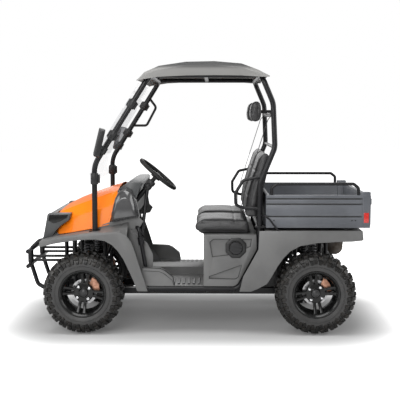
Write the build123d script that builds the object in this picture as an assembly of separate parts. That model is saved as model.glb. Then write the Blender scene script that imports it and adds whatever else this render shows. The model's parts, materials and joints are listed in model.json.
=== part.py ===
"""Side-by-side utility vehicle with two seats and a tipping cargo bed.

Millimetres. +X is forward, +Y is the driver's left and +Z is up. The origin is
on the ground, under the middle of the overall length and width. The left-hand
half is modelled, and the right-hand half is its mirror image.
"""
import os
from math import atan2, cos, degrees, radians, sin

from build123d import *

# ---- overall sizes ---------------------------------------------------------
FRONT_END = 1256.0          # front face of the bumper
REAR_END = -FRONT_END       # rear face of the tailgate latches
SIDE_FACE = 610.0           # outer face of tyres and fenders, from the centre
WHEELBASE = 1660.0
FRONT_AXLE = 795.0
REAR_AXLE = FRONT_AXLE - WHEELBASE
ROOF_CROWN = 1950.0

# ---- clearances ------------------------------------------------------------
SEAT_GAP = 0.3              # between a soft piece and what carries it
MOVE_GAP = 6.0              # beside a piece that swings or slides
RUN_GAP = 1.0               # beside a turning piece
HUB_GAP = 0.5               # between a hub and the face it turns on

# ---- wheels ----------------------------------------------------------------
TYRE_R = 292.0
TYRE_W = 230.0
BEAD_R = 152.0
RIM_FLANGE_R = 168.0
RIM_W = 190.0
RIM_WALL = 7.0
AXLE_Z = TYRE_R
WHEEL_Y = SIDE_FACE - TYRE_W / 2
HUB_FACE_Y = 522.0          # inner face of the wheel's centre plate
WEB_T = 12.0
HUB_R = 72.0
LUG_CIRCLE_R = 55.0
SPOKE_PAIRS = 4
SPOKE_BAR = 20.0
SPOKE_SPREAD = 11.0         # half angle between the two bars of one pair
DISC_R = 92.0
DISC_T = 4.0
DISC_Y = 500.0
DISC_HOLES = 12

# ---- steering and suspension -----------------------------------------------
KINGPIN_Y = 440.0
BALL_JOINT_RISE = 92.0
STEER_ARM = 60.0            # kingpin to tie-rod end
RACK_X = FRONT_AXLE - STEER_ARM
RACK_Z = 378.0
RACK_HALF = 150.0
ROD_R = 8.0
ROD_FIT = 0.6               # between the rack bar and its bore
ARM_TUBE_R = 13.0
ARM_HALF_SPAN = 75.0        # half the distance between an arm's inner pivots
POST_REACH = 115.0          # suspension posts, ahead of and behind each axle
ARM_ROOT_Y = 205.0
LOWER_ROOT_Z = 262.0
UPPER_ROOT_Z = 425.0
SHOCK_TOP_Z = 640.0
SHOCK_TOP_Y = 238.0
SHOCK_FOOT_Y = 330.0
SHAFT_R = 12.0
COLUMN_Y = 280.0
COLUMN_TILT = 40.3          # steering wheel's face, above level
STEER_WHEEL_X = 273.0
STEER_WHEEL_Z = 1126.0
STEER_WHEEL_R = 172.0
STEER_GRIP_R = 14.0

# ---- frame -----------------------------------------------------------------
CAGE_R = 19.0
RAIL_Y = (150.0, 190.0)
RAIL_Z = (218.0, 258.0)
RAIL_X = (-1140.0, 1085.0)
POST_R = 15.0
SILL_Y = 540.0
SILL_Z = 327.0
FLOOR_Z = SILL_Z + CAGE_R
SHEET = 4.0                 # moulded panels and pressed plates
BED_REST_Y = 290.0
BED_REST_Z = 722.0
BED_REST_R = 17.0
FRONT_TUBE_Z = 716.0
NOSE_POST_X = 1046.0
NOSE_FOOT_Z = 646.0
MUFFLER_X = -1062.0

# ---- cage ------------------------------------------------------------------
CAGE_Y = 530.0
CAGE_TOP_Z = 1838.0
PILLAR_X = 707.0
PILLAR_FOOT_Z = 743.0
PILLAR_BEND_Z = 1208.0
FRONT_BAR_X = 311.0
REAR_BAR_X = -468.0
REAR_POST_X = -463.0
REAR_FOOT_Z = 778.0

# ---- cab -------------------------------------------------------------------
SEAT_DECK_Z = 715.0
SEAT_BOX_X = (-438.0, -66.0)
SEAT_BOX_Y = 560.0
CUSHION_T = 105.0
TUNNEL_HALF = 110.0
TUNNEL_Z = 405.0

# ---- cargo bed -------------------------------------------------------------
BED_X = (-1234.0, -505.0)
BED_HALF = 585.0
BED_FLOOR_Z = 787.0
BED_TOP_Z = 1000.0
BED_WALL = 22.0
BED_PIVOT_X = -1168.0
BED_PIVOT_Z = 754.0
BED_EAR_Y = 235.0
BED_EAR_HALF = 19.0
HINGE_PIN_R = 6.0
PIN_FIT = 0.4
BED_GROOVES_Z = (845.0, 932.0, 970.0)
TAILGATE_T = 24.0
TAILGATE_HALF = 515.0
TAILGATE_PIVOT_X = BED_X[0] + TAILGATE_T / 2
TAILGATE_PIVOT_Z = 806.0

SIDE = Plane(origin=(0, 0, 0), x_dir=(1, 0, 0), z_dir=(0, -1, 0))    # draws in X and Z
FRONT = Plane(origin=(0, 0, 0), x_dir=(0, 1, 0), z_dir=(1, 0, 0))    # draws in Y and Z


# ---- helpers ---------------------------------------------------------------
def block(x, y, z):
    """Box whose limits on each axis are given as a pair."""
    low = [min(pair) for pair in (x, y, z)]
    high = [max(pair) for pair in (x, y, z)]
    middle = [(a + b) / 2 for a, b in zip(low, high)]
    size = [b - a for a, b in zip(low, high)]
    return Pos(*middle) * Box(*size)


def outline(points, radius=0.0):
    """Flat face inside the points, with its corners rounded."""
    if radius:
        return make_face(FilletPolyline(*points, radius=radius, close=True))
    return make_face(Polyline(*points, close=True))


def side_prism(face, y_low, y_high):
    """Solid with an X-Z outline, between two Y planes."""
    return SIDE.offset(-y_high) * extrude(face, amount=y_high - y_low)


def front_prism(face, x_low, x_high):
    """Solid with a Y-Z outline, between two X planes."""
    return FRONT.offset(x_low) * extrude(face, amount=x_high - x_low)


def top_prism(face, z_low, z_high):
    """Solid with an X-Y outline, between two heights."""
    return Pos(0, 0, z_low) * extrude(face, amount=z_high - z_low)


def offset_path(points, distance):
    """Points moved to the left of the way they run, with mitred corners."""
    angles = [atan2(q[1] - p[1], q[0] - p[0]) for p, q in zip(points, points[1:])]
    moved = []
    for (x, y), turn_in, turn_out in zip(points, angles[:1] + angles, angles + angles[-1:]):
        bisector = (turn_in + turn_out) / 2
        reach = distance / cos((turn_out - turn_in) / 2)
        moved.append((x - sin(bisector) * reach, y + cos(bisector) * reach))
    return moved


def band(points, thickness):
    """Flat face of a sheet that follows the points and lies to their left."""
    return outline(list(points) + offset_path(points, thickness)[::-1])


def tube(points, radius, bend=0.0):
    """Round bar along straight runs, joined by bends where a radius is given."""
    if len(points) > 2 and bend:
        path = FilletPolyline(*points, radius=bend)
    else:
        path = Polyline(*points)
    start = Plane(origin=path @ 0, z_dir=path % 0)
    return sweep(start * Circle(radius), path=path)


def bar(start, end, radius):
    """Straight round bar between two points."""
    axis = Vector(*end) - Vector(*start)
    return Plane(origin=start, z_dir=axis) * Pos(0, 0, axis.length / 2) * Cylinder(radius, axis.length)


def both(shape):
    """The shape and its mirror image on the other side of the vehicle."""
    return shape + mirror(shape, about=Plane.XZ)


def ruled_loft(stations, plane=FRONT):
    """Solid through flat faces, each placed at its distance along the plane's normal."""
    return loft([plane.offset(place) * face for place, face in stations], ruled=True)


# ---- wheels ----------------------------------------------------------------
def tyre():
    """Tyre about the Y axis, centred on the origin."""
    half = TYRE_W / 2
    section = outline([
        (BEAD_R, -RIM_W / 2 + 10), (BEAD_R + 16, -RIM_W / 2), (232, -half), (268, -half + 6),
        (TYRE_R, -half + 30), (TYRE_R, half - 30), (268, half - 6), (232, half),
        (BEAD_R + 16, RIM_W / 2), (BEAD_R, RIM_W / 2 - 10),
    ])
    return revolve(section, Axis.Y)


def rim():
    """Alloy wheel about the Y axis, its outer side towards +Y."""
    half = RIM_W / 2
    seat = BEAD_R - SEAT_GAP
    lip = RIM_FLANGE_R - 8
    section = outline([
        (seat, -half + 9), (seat, half - 9), (lip, half - 2 + SEAT_GAP), (lip + 6, half + 4),
        (lip - 6, half + 4), (seat - RIM_WALL, half - 12), (seat - RIM_WALL, -half + 12),
        (lip - 6, -half - 4), (lip + 6, -half - 4), (lip, -half + 2 - SEAT_GAP),
    ])
    barrel = revolve(section, Axis.Y)
    web_y = HUB_FACE_Y - WHEEL_Y
    face = SIDE.offset(-(web_y + WEB_T))
    centre = face * Pos(0, 0, WEB_T / 2) * Cylinder(HUB_R, WEB_T)
    reach = seat - RIM_WALL + 1
    bars = []
    for pair in range(SPOKE_PAIRS):
        for side in (-1, 1):
            turn = 90 + pair * 360 / SPOKE_PAIRS
            spoke = Pos((HUB_R - 12 + reach) / 2, side * SPOKE_BAR * 0.85, 0) * Box(
                reach - HUB_R + 12, SPOKE_BAR, WEB_T)
            bars.append(face * Pos(0, 0, WEB_T / 2) * Rot(0, 0, turn) * Rot(0, 0, side * SPOKE_SPREAD / 3) * spoke)
    wheel = barrel + centre
    for spoke in bars:
        wheel += spoke
    bore = face * Pos(0, 0, WEB_T / 2) * Cylinder(24, WEB_T * 3)
    return wheel - bore


def brake_disc():
    """Drilled disc with its hub, about the Y axis of the wheel."""
    disc_y = DISC_Y - WHEEL_Y
    web_y = HUB_FACE_Y - WHEEL_Y
    disc = SIDE.offset(-disc_y) * Pos(0, 0, DISC_T / 2) * Cylinder(DISC_R, DISC_T)
    hub = SIDE.offset(-web_y) * Pos(0, 0, (web_y - disc_y) / 2) * Cylinder(52, web_y - disc_y)
    nose = SIDE.offset(-(web_y + WEB_T)) * Pos(0, 0, WEB_T / 2) * Cylinder(24 - SEAT_GAP, WEB_T)
    holes = [SIDE.offset(-disc_y) * Rot(0, 0, i * 360 / DISC_HOLES) * Pos(80, 0, 0) * Cylinder(4.5, 20)
             for i in range(DISC_HOLES)]
    return disc + hub + nose - holes


WHEELS = [
    # name, axle X, side
    ("front_left", FRONT_AXLE, 1),
    ("front_right", FRONT_AXLE, -1),
    ("rear_left", REAR_AXLE, 1),
    ("rear_right", REAR_AXLE, -1),
]


def on_corner(piece, axle_x, side):
    """A wheel piece put at its corner of the vehicle."""
    placed = Pos(axle_x, WHEEL_Y, AXLE_Z) * piece
    return placed if side > 0 else mirror(placed, about=Plane.XZ)


# ---- suspension ------------------------------------------------------------
BOSS_R = 34.0


def disc_slot(axle_x):
    """Room that the left-hand brake disc turns in, round the spindle boss."""
    room = DISC_T + 2 * RUN_GAP
    ring = Cylinder(DISC_R + 4, room) - Cylinder(BOSS_R + 2, room + 1)
    return SIDE.offset(-(DISC_Y + RUN_GAP)) * Pos(axle_x, AXLE_Z, room / 2) * ring


def upright(axle_x, steered):
    """Left-hand knuckle with its spindle boss and brake caliper."""
    half = BALL_JOINT_RISE - 17
    plate = side_prism(outline([
        (axle_x - 22, AXLE_Z - half), (axle_x + 22, AXLE_Z - half), (axle_x + 40, AXLE_Z),
        (axle_x + 22, AXLE_Z + half), (axle_x - 22, AXLE_Z + half), (axle_x - 40, AXLE_Z),
    ]), KINGPIN_Y - 15, KINGPIN_Y + 15)
    boss_y = DISC_Y - DISC_T - HUB_GAP
    boss = SIDE.offset(-boss_y) * Pos(axle_x, AXLE_Z, 25) * Cylinder(BOSS_R, 50)
    caliper = side_prism(outline([
        (axle_x - 112, AXLE_Z + 12), (axle_x - 62, AXLE_Z + 12), (axle_x - 40, AXLE_Z + 62),
        (axle_x - 60, AXLE_Z + 104), (axle_x - 84, AXLE_Z + 92), (axle_x - 108, AXLE_Z + 56),
    ]), DISC_Y - 30, DISC_Y + 12)
    carrier = side_prism(outline([
        (axle_x - 88, AXLE_Z + 30), (axle_x - 20, AXLE_Z - 20), (axle_x - 20, AXLE_Z + 40),
        (axle_x - 74, AXLE_Z + 62),
    ]), KINGPIN_Y, DISC_Y - 20)
    studs = Pos(axle_x, KINGPIN_Y, AXLE_Z) * Cylinder(10, 2 * (BALL_JOINT_RISE - 11 - SEAT_GAP))
    piece = plate + studs + boss + caliper + carrier - disc_slot(axle_x)
    if steered:
        piece += top_prism(outline([
            (axle_x - STEER_ARM - 13, KINGPIN_Y - 38), (axle_x - STEER_ARM + 13, KINGPIN_Y - 42),
            (axle_x - 15, KINGPIN_Y - 15), (axle_x - 15, KINGPIN_Y + 12), (axle_x - 36, KINGPIN_Y + 12),
            (axle_x - STEER_ARM - 13, KINGPIN_Y - 14),
        ]), RACK_Z - 30, RACK_Z - 16)
    return piece


def suspension_arm(axle_x, root_z, ball_z, shock_foot_z=0.0):
    """Left-hand A-arm: two tubes, an eye at each inner pivot and a ball-joint cup."""
    arm = Pos(axle_x, KINGPIN_Y, ball_z) * Cylinder(20, 20)
    for side in (-1, 1):
        eye = Pos(axle_x + side * ARM_HALF_SPAN, ARM_ROOT_Y, root_z)
        arm += bar((axle_x + side * ARM_HALF_SPAN, ARM_ROOT_Y + 8, root_z),
                   (axle_x + side * 10, KINGPIN_Y - 17, ball_z), ARM_TUBE_R)
        arm += eye * Rot(0, 90, 0) * Cylinder(15, 40)
    if shock_foot_z:
        arm += block((axle_x - 45, axle_x + 45), (SHOCK_FOOT_Y - 14, SHOCK_FOOT_Y + 14),
                     (shock_foot_z - 16, shock_foot_z))
    return arm


def arm_height(root_z, ball_z, y):
    """Height of an A-arm's tubes at a distance from the centre."""
    return root_z + (ball_z - root_z) * (y - ARM_ROOT_Y) / (KINGPIN_Y - ARM_ROOT_Y)


LOWER_BALL_Z = AXLE_Z - BALL_JOINT_RISE + 1
UPPER_BALL_Z = AXLE_Z + BALL_JOINT_RISE - 1
SHOCK_FOOT_Z = arm_height(UPPER_ROOT_Z, UPPER_BALL_Z, SHOCK_FOOT_Y) + ARM_TUBE_R + 3


def suspension_arms():
    """The eight A-arms."""
    arms = Part()
    for axle_x in (FRONT_AXLE, REAR_AXLE):
        arms += both(suspension_arm(axle_x, LOWER_ROOT_Z, LOWER_BALL_Z))
        arms += both(suspension_arm(axle_x, UPPER_ROOT_Z, UPPER_BALL_Z, SHOCK_FOOT_Z))
    return arms


def shock_absorber(axle_x):
    """Left-hand shock: rod, body and two spring seats."""
    foot = Vector(axle_x, SHOCK_FOOT_Y, SHOCK_FOOT_Z + 14)
    top = Vector(axle_x, SHOCK_TOP_Y, SHOCK_TOP_Z)
    length = (top - foot).length
    line = Plane(origin=foot, x_dir=(1, 0, 0), z_dir=top - foot)
    shock = line * Pos(0, 0, length / 2) * Cylinder(11, length)
    shock += line * Pos(0, 0, length * 0.3) * Cylinder(21, length * 0.45)
    for share in (0.1, 0.86):
        shock += line * Pos(0, 0, length * share) * Cylinder(36, 8)
    for end in (foot, top):
        shock += Pos(*end) * Rot(0, 90, 0) * Cylinder(13.7, 34)
    return shock


def shock_absorbers():
    """The four shock absorbers."""
    shocks = Part()
    for axle_x in (FRONT_AXLE, REAR_AXLE):
        shocks += both(shock_absorber(axle_x))
    return shocks


def axles():
    """Front and rear final drives, each with its two half shafts."""
    sizes = [
        # axle X, half length, half width, low Z, high Z, gap to the knuckle or upright
        (FRONT_AXLE, 60, 80, 224, 350, 13),
        (REAR_AXLE, 90, 110, 222, 368, SEAT_GAP),
    ]
    drives = Part()
    for axle_x, half_length, half_width, low, high, gap in sizes:
        case = block((axle_x - half_length, axle_x + half_length), (-half_width, half_width), (low, high))
        case = fillet(case.edges(), 22)
        boot = Pos(axle_x, 0, AXLE_Z) * Rot(90, 0, 0) * Cylinder(30, 2 * half_width + 70)
        shaft = Pos(axle_x, 0, AXLE_Z) * Rot(90, 0, 0) * Cylinder(SHAFT_R, 2 * (KINGPIN_Y - 15 - gap))
        drives += case + boot + shaft
    return drives


# ---- steering --------------------------------------------------------------
DASH_TUBE = [(322, 505, 300), (396, 505, 745), (455, 420, 790), (480, 420, 960)]
DASH_TUBE_R = 14.0
DASH_CLAMP = (382.3, 505, 662.5)
DASH_CLAMP_R = 22.0
COWL_Y = 446.0              # inner face of the cowls
DASH_HALF = COWL_Y - SEAT_GAP


COLUMN_DOWN = Vector(cos(radians(90 - COLUMN_TILT)), 0, -sin(radians(90 - COLUMN_TILT)))


def on_column(distance):
    """Point on the steering column's axis, measured down from the wheel's centre."""
    return Vector(STEER_WHEEL_X, COLUMN_Y, STEER_WHEEL_Z) + COLUMN_DOWN * distance


RACK_END = (RACK_X, 80, RACK_Z)
COLUMN_R = 11.0


def steering_gear():
    """Rack housing on the rails, and the column that leads up from it."""
    rack = Pos(RACK_X, 0, RACK_Z) * Rot(90, 0, 0) * Cylinder(20, 2 * RACK_HALF)
    foot = block((RACK_X - 14, RACK_X + 14), (RACK_HALF - 24, RACK_HALF - 6), (RAIL_Z[1], RACK_Z))
    foot += block((RACK_X - 14, RACK_X + 14), (RACK_HALF - 24, RAIL_Y[0] + 8), (RAIL_Z[1], RAIL_Z[1] + 6))
    knee = on_column(330)
    upper = bar(on_column(62), knee, 20)
    lower = bar(knee, RACK_END, COLUMN_R)
    brace = bar(on_column(118), DASH_CLAMP, 13) - bar(DASH_TUBE[0], DASH_TUBE[1], DASH_CLAMP_R + SEAT_GAP)
    bore = Pos(RACK_X, 0, RACK_Z) * Rot(90, 0, 0) * Cylinder(ROD_R + ROD_FIT, 2 * RACK_HALF + 2)
    return rack + both(foot) + upper + lower + Pos(*knee) * Sphere(22) + brace - bore


def tie_rods():
    """Rack bar with a tie-rod end above each knuckle's steering arm."""
    end_y = KINGPIN_Y - 27
    rod = bar((RACK_X, -end_y, RACK_Z), (RACK_X, end_y, RACK_Z), ROD_R)
    return rod + both(Pos(RACK_X, end_y, RACK_Z) * Cylinder(13, 28))


def steering_wheel():
    """Grip ring, hub and three spokes, square to the column."""
    face = Plane(origin=(STEER_WHEEL_X, COLUMN_Y, STEER_WHEEL_Z), x_dir=(0, 1, 0), z_dir=-COLUMN_DOWN)
    wheel = face * Torus(STEER_WHEEL_R - STEER_GRIP_R, STEER_GRIP_R)
    wheel += face * Pos(0, 0, -18) * Cylinder(38, 36)
    for turn in (0, 90, 180):
        wheel += face * Rot(0, 0, turn) * Pos((STEER_WHEEL_R - STEER_GRIP_R) / 2, 0, -6) * Box(
            STEER_WHEEL_R - STEER_GRIP_R - 8, 30, 8)
    wheel += face * Pos(0, 0, -47) * Cylinder(16, 28)
    return wheel


# ---- frame -----------------------------------------------------------------
SILL_ROUTE = [(338, SILL_Y, SILL_Z), (-312, SILL_Y, SILL_Z), (REAR_POST_X, SILL_Y, 600),
              (REAR_POST_X, SILL_Y, REAR_FOOT_Z - 6)]
SILL_BEND = 60.0
CROSS_R = 14.0
STAY_Z = 616.0              # bumper's upper stays and the bar under the nose
BUMPER_POST_X = 975.0


def suspension_posts(axle_x):
    """Left-hand posts, arm brackets and shock mount at one axle, as a list."""
    ahead, behind = axle_x + POST_REACH, axle_x - POST_REACH
    posts = [bar((x, 170, RAIL_Z[1]), (x, 170, SHOCK_TOP_Z + 20), POST_R) for x in (ahead, behind)]
    posts += [bar((behind, 170, z), (ahead, 170, z), CROSS_R) for z in (UPPER_ROOT_Z, SHOCK_TOP_Z + 4)]
    for x in (axle_x - ARM_HALF_SPAN, axle_x + ARM_HALF_SPAN):
        for root_z in (LOWER_ROOT_Z, UPPER_ROOT_Z):
            bracket = block((x - 28, x + 28), (158, ARM_ROOT_Y + 14), (root_z - 16, root_z + 16))
            posts.append(bracket - block((x - 20.5, x + 20.5), (ARM_ROOT_Y - 15.3, 300), (0, 900)))
    for lug in (-21.5, 21.5):
        posts.append(block((axle_x + lug - 4, axle_x + lug + 4), (165, SHOCK_TOP_Y + 16),
                           (SHOCK_TOP_Z - 18, SHOCK_TOP_Z + 18)))
    return posts


def bed_hinge_ears():
    """Left-hand frame ears and the pin that the cargo bed turns on, as a list."""
    parts = []
    for ear_y in (BED_EAR_Y - BED_EAR_HALF - 4, BED_EAR_Y + BED_EAR_HALF + 4):
        face = outline([(BED_PIVOT_X - 20, BED_REST_Z), (BED_PIVOT_X + 20, BED_REST_Z),
                        (BED_PIVOT_X + 9, BED_PIVOT_Z + 10), (BED_PIVOT_X - 9, BED_PIVOT_Z + 10)])
        parts.append(side_prism(face, ear_y - 4, ear_y + 4))
    pin_half = BED_EAR_HALF + 6
    parts.append(bar((BED_PIVOT_X, BED_EAR_Y - pin_half, BED_PIVOT_Z), (BED_PIVOT_X, BED_EAR_Y + pin_half, BED_PIVOT_Z),
                     HINGE_PIN_R))
    return parts


def front_bulkhead():
    """Front suspension posts, the cross tube that carries the A-pillars, and the posts of bumper and nose."""
    post_x = FRONT_AXLE - POST_REACH
    side = suspension_posts(FRONT_AXLE) + [
        bar((PILLAR_X, -1, FRONT_TUBE_Z), (PILLAR_X, CAGE_Y + 36, FRONT_TUBE_Z), CAGE_R),
        bar((post_x, 170, SHOCK_TOP_Z), (PILLAR_X - 10, 170, FRONT_TUBE_Z), POST_R - 2),
        block((PILLAR_X - 36, PILLAR_X + 36), (CAGE_Y - 36, CAGE_Y + 36), (FRONT_TUBE_Z + 8, PILLAR_FOOT_Z - 6)),
        bar((BUMPER_POST_X, 170, RAIL_Z[1]), (BUMPER_POST_X, 170, STAY_Z + 22), POST_R),
        bar((NOSE_POST_X, -1, STAY_Z), (NOSE_POST_X, 170, STAY_Z), CROSS_R),
        bar((FRONT_AXLE + POST_REACH, 170, SHOCK_TOP_Z + 4), (NOSE_POST_X, 170, STAY_Z), POST_R - 2),
        block((NOSE_POST_X - 12, NOSE_POST_X + 12), (100, 130), (STAY_Z, NOSE_FOOT_Z - SEAT_GAP)),
    ]
    left = Part() + side
    return left + mirror(left, about=Plane.XZ) - rails()


def rear_bulkhead():
    """Rear suspension posts, the bed rests that stand on them, and the bed's hinge ears."""
    side = suspension_posts(REAR_AXLE)
    side.append(bar((-480, BED_REST_Y, BED_REST_Z), (BED_PIVOT_X - 22, BED_REST_Y, BED_REST_Z), BED_REST_R))
    for post_x in (REAR_AXLE + POST_REACH, REAR_AXLE - POST_REACH):
        side.append(bar((post_x, 170, SHOCK_TOP_Z), (post_x, BED_REST_Y, BED_REST_Z), POST_R - 2))
    side += [
        block((-492, REAR_POST_X), (BED_REST_Y - 12, BED_REST_Y + 12), (BED_REST_Z - 8, BED_REST_Z + 22)),
        bar((BED_PIVOT_X, -1, BED_REST_Z), (BED_PIVOT_X, BED_REST_Y + 22, BED_REST_Z), CROSS_R),
        bar((MUFFLER_X, -1, BED_REST_Z), (MUFFLER_X, BED_REST_Y, BED_REST_Z), CROSS_R - 2),
    ]
    side += bed_hinge_ears()
    left = Part() + side
    return left + mirror(left, about=Plane.XZ) - rails() - seat_cross_bar()


def dash_frame():
    """Two tubes from the floor to the dashboard, joined by a bar, with the column's clamp."""
    lower, upper = Vector(*DASH_TUBE[0]), Vector(*DASH_TUBE[1])
    along = (upper - lower).normalized() * 28
    side = [
        tube(DASH_TUBE, DASH_TUBE_R, 35),
        bar((480, -1, 960), (480, DASH_HALF - SHEET - SEAT_GAP, 960), DASH_TUBE_R - 2),
        bar(Vector(*DASH_CLAMP) - along, Vector(*DASH_CLAMP) + along, DASH_CLAMP_R),
    ]
    left = Part() + side
    return left + mirror(left, about=Plane.XZ) - both(outrigger(OUTRIGGER_X[0]))


OUTRIGGER_X = (320.0, -90.0, -290.0)


def outrigger(x):
    """Bar from the left rail out to the sill."""
    return bar((x, RAIL_Y[1] - 10, RAIL_Z[1] - 18), (x, SILL_Y, SILL_Z - 6), CROSS_R)


def rails():
    """The two main rails alone."""
    return both(block(RAIL_X, RAIL_Y, RAIL_Z))


def seat_cross_bar():
    """Cross bar between the tops of the sill tubes."""
    return bar((REAR_POST_X, -SILL_Y, 740), (REAR_POST_X, SILL_Y, 740), CROSS_R)


def main_frame():
    """Ladder frame: two rails with crossmembers, outriggers, and sill tubes that rise to the rear posts."""
    side = [block(RAIL_X, RAIL_Y, RAIL_Z), tube(SILL_ROUTE, CAGE_R, SILL_BEND)]
    side.append(block((REAR_POST_X - 34, REAR_POST_X + 34), (SILL_Y - 34, SILL_Y + 30),
                      (REAR_FOOT_Z - 12, REAR_FOOT_Z - 6)))
    side += [outrigger(x) for x in OUTRIGGER_X]
    crossings = [block((x - 18, x + 18), (-RAIL_Y[0] - 2, RAIL_Y[0] + 2), (RAIL_Z[0] + 6, RAIL_Z[1] - 6))
                 for x in (1065, 600, 320, -90, -690, -1110)]
    left = Part() + side
    return left + ([mirror(left, about=Plane.XZ), seat_cross_bar()] + crossings)


def skid_plate():
    """Pressed plate under the rails, turned up at the nose, with drain holes."""
    low = RAIL_Z[0]
    plate = block((-1120, 1088), (-188, 188), (low - SHEET, low))
    plate += side_prism(band([(1150, low + 52), (1092, low), (1060, low)], SHEET), -138, 138)
    for hole_x in (900, 700, 480, 200, 0, -200, -420, -640, -860):
        for hole_y in (-90, 90):
            plate -= Pos(hole_x, hole_y, low) * Cylinder(22, 40)
    return plate


# ---- cage and roof ---------------------------------------------------------
def front_hoop():
    """Two A-pillars joined by a bar under the roof's front edge."""
    route = [
        (PILLAR_X, CAGE_Y, PILLAR_FOOT_Z - 2), (PILLAR_X, CAGE_Y, PILLAR_BEND_Z), (FRONT_BAR_X, CAGE_Y, CAGE_TOP_Z),
        (FRONT_BAR_X, -CAGE_Y, CAGE_TOP_Z), (PILLAR_X, -CAGE_Y, PILLAR_BEND_Z), (PILLAR_X, -CAGE_Y, PILLAR_FOOT_Z - 2),
    ]
    hoop = tube(route, CAGE_R, (200, 80, 80, 200))
    foot = block((PILLAR_X - 36, PILLAR_X + 36), (CAGE_Y - 36, CAGE_Y + 36), (PILLAR_FOOT_Z - 6, PILLAR_FOOT_Z))
    return hoop + both(foot)


SEAT_BAR_Z = 1330.0
SEAT_BAR_R = 12.0
REAR_ROUTE = [
    (REAR_POST_X, SILL_Y, REAR_FOOT_Z - 2), (REAR_POST_X, SILL_Y, 1080), (-566, CAGE_Y + 8, SEAT_BAR_Z),
    (-552, CAGE_Y, 1640), (REAR_BAR_X, CAGE_Y, CAGE_TOP_Z),
]
REAR_BENDS = (110, 150, 150)


def rear_hoop():
    """Rear posts that lean back behind the seats, joined by three cross bars."""
    mirrored = [(x, -y, z) for x, y, z in reversed(REAR_ROUTE)]
    hoop = tube(REAR_ROUTE + mirrored, CAGE_R, REAR_BENDS + (80, 80) + REAR_BENDS[::-1])
    hoop += bar((-556, -CAGE_Y, 1560), (-556, CAGE_Y, 1560), 15)
    hoop += bar((-566, -CAGE_Y, SEAT_BAR_Z), (-566, CAGE_Y, SEAT_BAR_Z), SEAT_BAR_R)
    foot = block((REAR_POST_X - 34, REAR_POST_X + 34), (SILL_Y - 34, SILL_Y + 30), (REAR_FOOT_Z - 6, REAR_FOOT_Z))
    return hoop + both(foot)


ROOF_RAIL_Y = 450.0
ROOF_RAIL_R = 16.0


def roof_rails():
    """Two side rails and a middle bar between the hoops."""
    rail_y = ROOF_RAIL_Y
    front = FRONT_BAR_X - CAGE_R - SEAT_GAP
    rear = REAR_BAR_X + CAGE_R + SEAT_GAP
    rails = both(bar((rear, rail_y, CAGE_TOP_Z), (front, rail_y, CAGE_TOP_Z), ROOF_RAIL_R))
    return rails + bar((-80, -rail_y, CAGE_TOP_Z), (-80, rail_y, CAGE_TOP_Z), 14)


def pillar_point(height):
    """X of the A-pillar's axis at a height."""
    if height <= PILLAR_BEND_Z:
        return PILLAR_X
    share = (height - PILLAR_BEND_Z) / (CAGE_TOP_Z - PILLAR_BEND_Z)
    return PILLAR_X + (FRONT_BAR_X - PILLAR_X) * share


PILLAR_LEAN = degrees(atan2(PILLAR_X - FRONT_BAR_X, CAGE_TOP_Z - PILLAR_BEND_Z))
SCREEN_OUT = 34.0           # windscreen's back face, ahead of the pillar's axis
SCREEN_T = 5.0
UPPER_CLAMP_Z = (1635.0, 1415.0)
LOWER_CLAMP_Z = 1110.0


def pillar_clamps():
    """Split clamps around the A-pillars, each with a pad that carries the windscreen."""
    clamps = Part()
    for height in UPPER_CLAMP_Z:
        place = Pos(pillar_point(height), CAGE_Y, height) * Rot(0, -PILLAR_LEAN, 0)
        clamps += place * (Cylinder(27, 62) + Pos((SCREEN_OUT - 2 * SEAT_GAP) / 2, -8, 0) * Box(SCREEN_OUT - 2 * SEAT_GAP, 34, 50)
                           + Pos(-30, 0, 0) * Box(18, 14, 50) - Cylinder(CAGE_R, 90))
    clamps += Pos(PILLAR_X, CAGE_Y, LOWER_CLAMP_Z) * (
        Cylinder(27, 78) + Pos(-30, 0, 0) * Box(18, 14, 60) + Pos(14.3, -20, 0) * Box(28.6, 24, 60)
        - Cylinder(CAGE_R, 120))
    return both(clamps)


def windshield():
    """Two clear sheets: the upper one flat, the lower one folded in at its foot."""
    half = CAGE_Y - 6
    lean = radians(PILLAR_LEAN)
    across = (cos(lean) * SCREEN_OUT, sin(lean) * SCREEN_OUT)

    def ahead_of_pillar(height):
        return (pillar_point(height) + across[0], height + across[1])

    upper = band([ahead_of_pillar(1395), ahead_of_pillar(1760)], -SCREEN_T)
    lower = band([(PILLAR_X + 28.3, 1072), (PILLAR_X + 40, 1150), ahead_of_pillar(PILLAR_BEND_Z + 30),
                  ahead_of_pillar(1391)], -SCREEN_T)
    return side_prism(upper, -half, half) + side_prism(lower, -half, half)


ROOF_STATIONS = [
    # X, crown Z, shoulder Z, edge Z, rim Z
    (402, 1806, 1804, 1802, 1796),
    (352, 1868, 1858, 1836, 1806),
    (250, 1916, 1902, 1872, 1822),
    (60, 1944, 1930, 1898, 1831),
    (-140, ROOF_CROWN, 1934, 1900, 1833),
    (-330, 1934, 1918, 1884, 1831),
    (-450, 1892, 1874, 1850, 1822),
    (-524, 1838, 1836, 1832, 1822),
]
ROOF_HALF = 566.0


def roof_section(crown, shoulder, edge, rim_z, inset):
    """Half of the roof's outer line at one station, from the middle to the rim."""
    half = ROOF_HALF - inset
    return [(0, crown - inset), (half * 0.5, crown - (crown - shoulder) * 0.35 - inset), (half - 70, shoulder - inset),
            (half - 14, edge - inset), (half, rim_z)]


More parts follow.
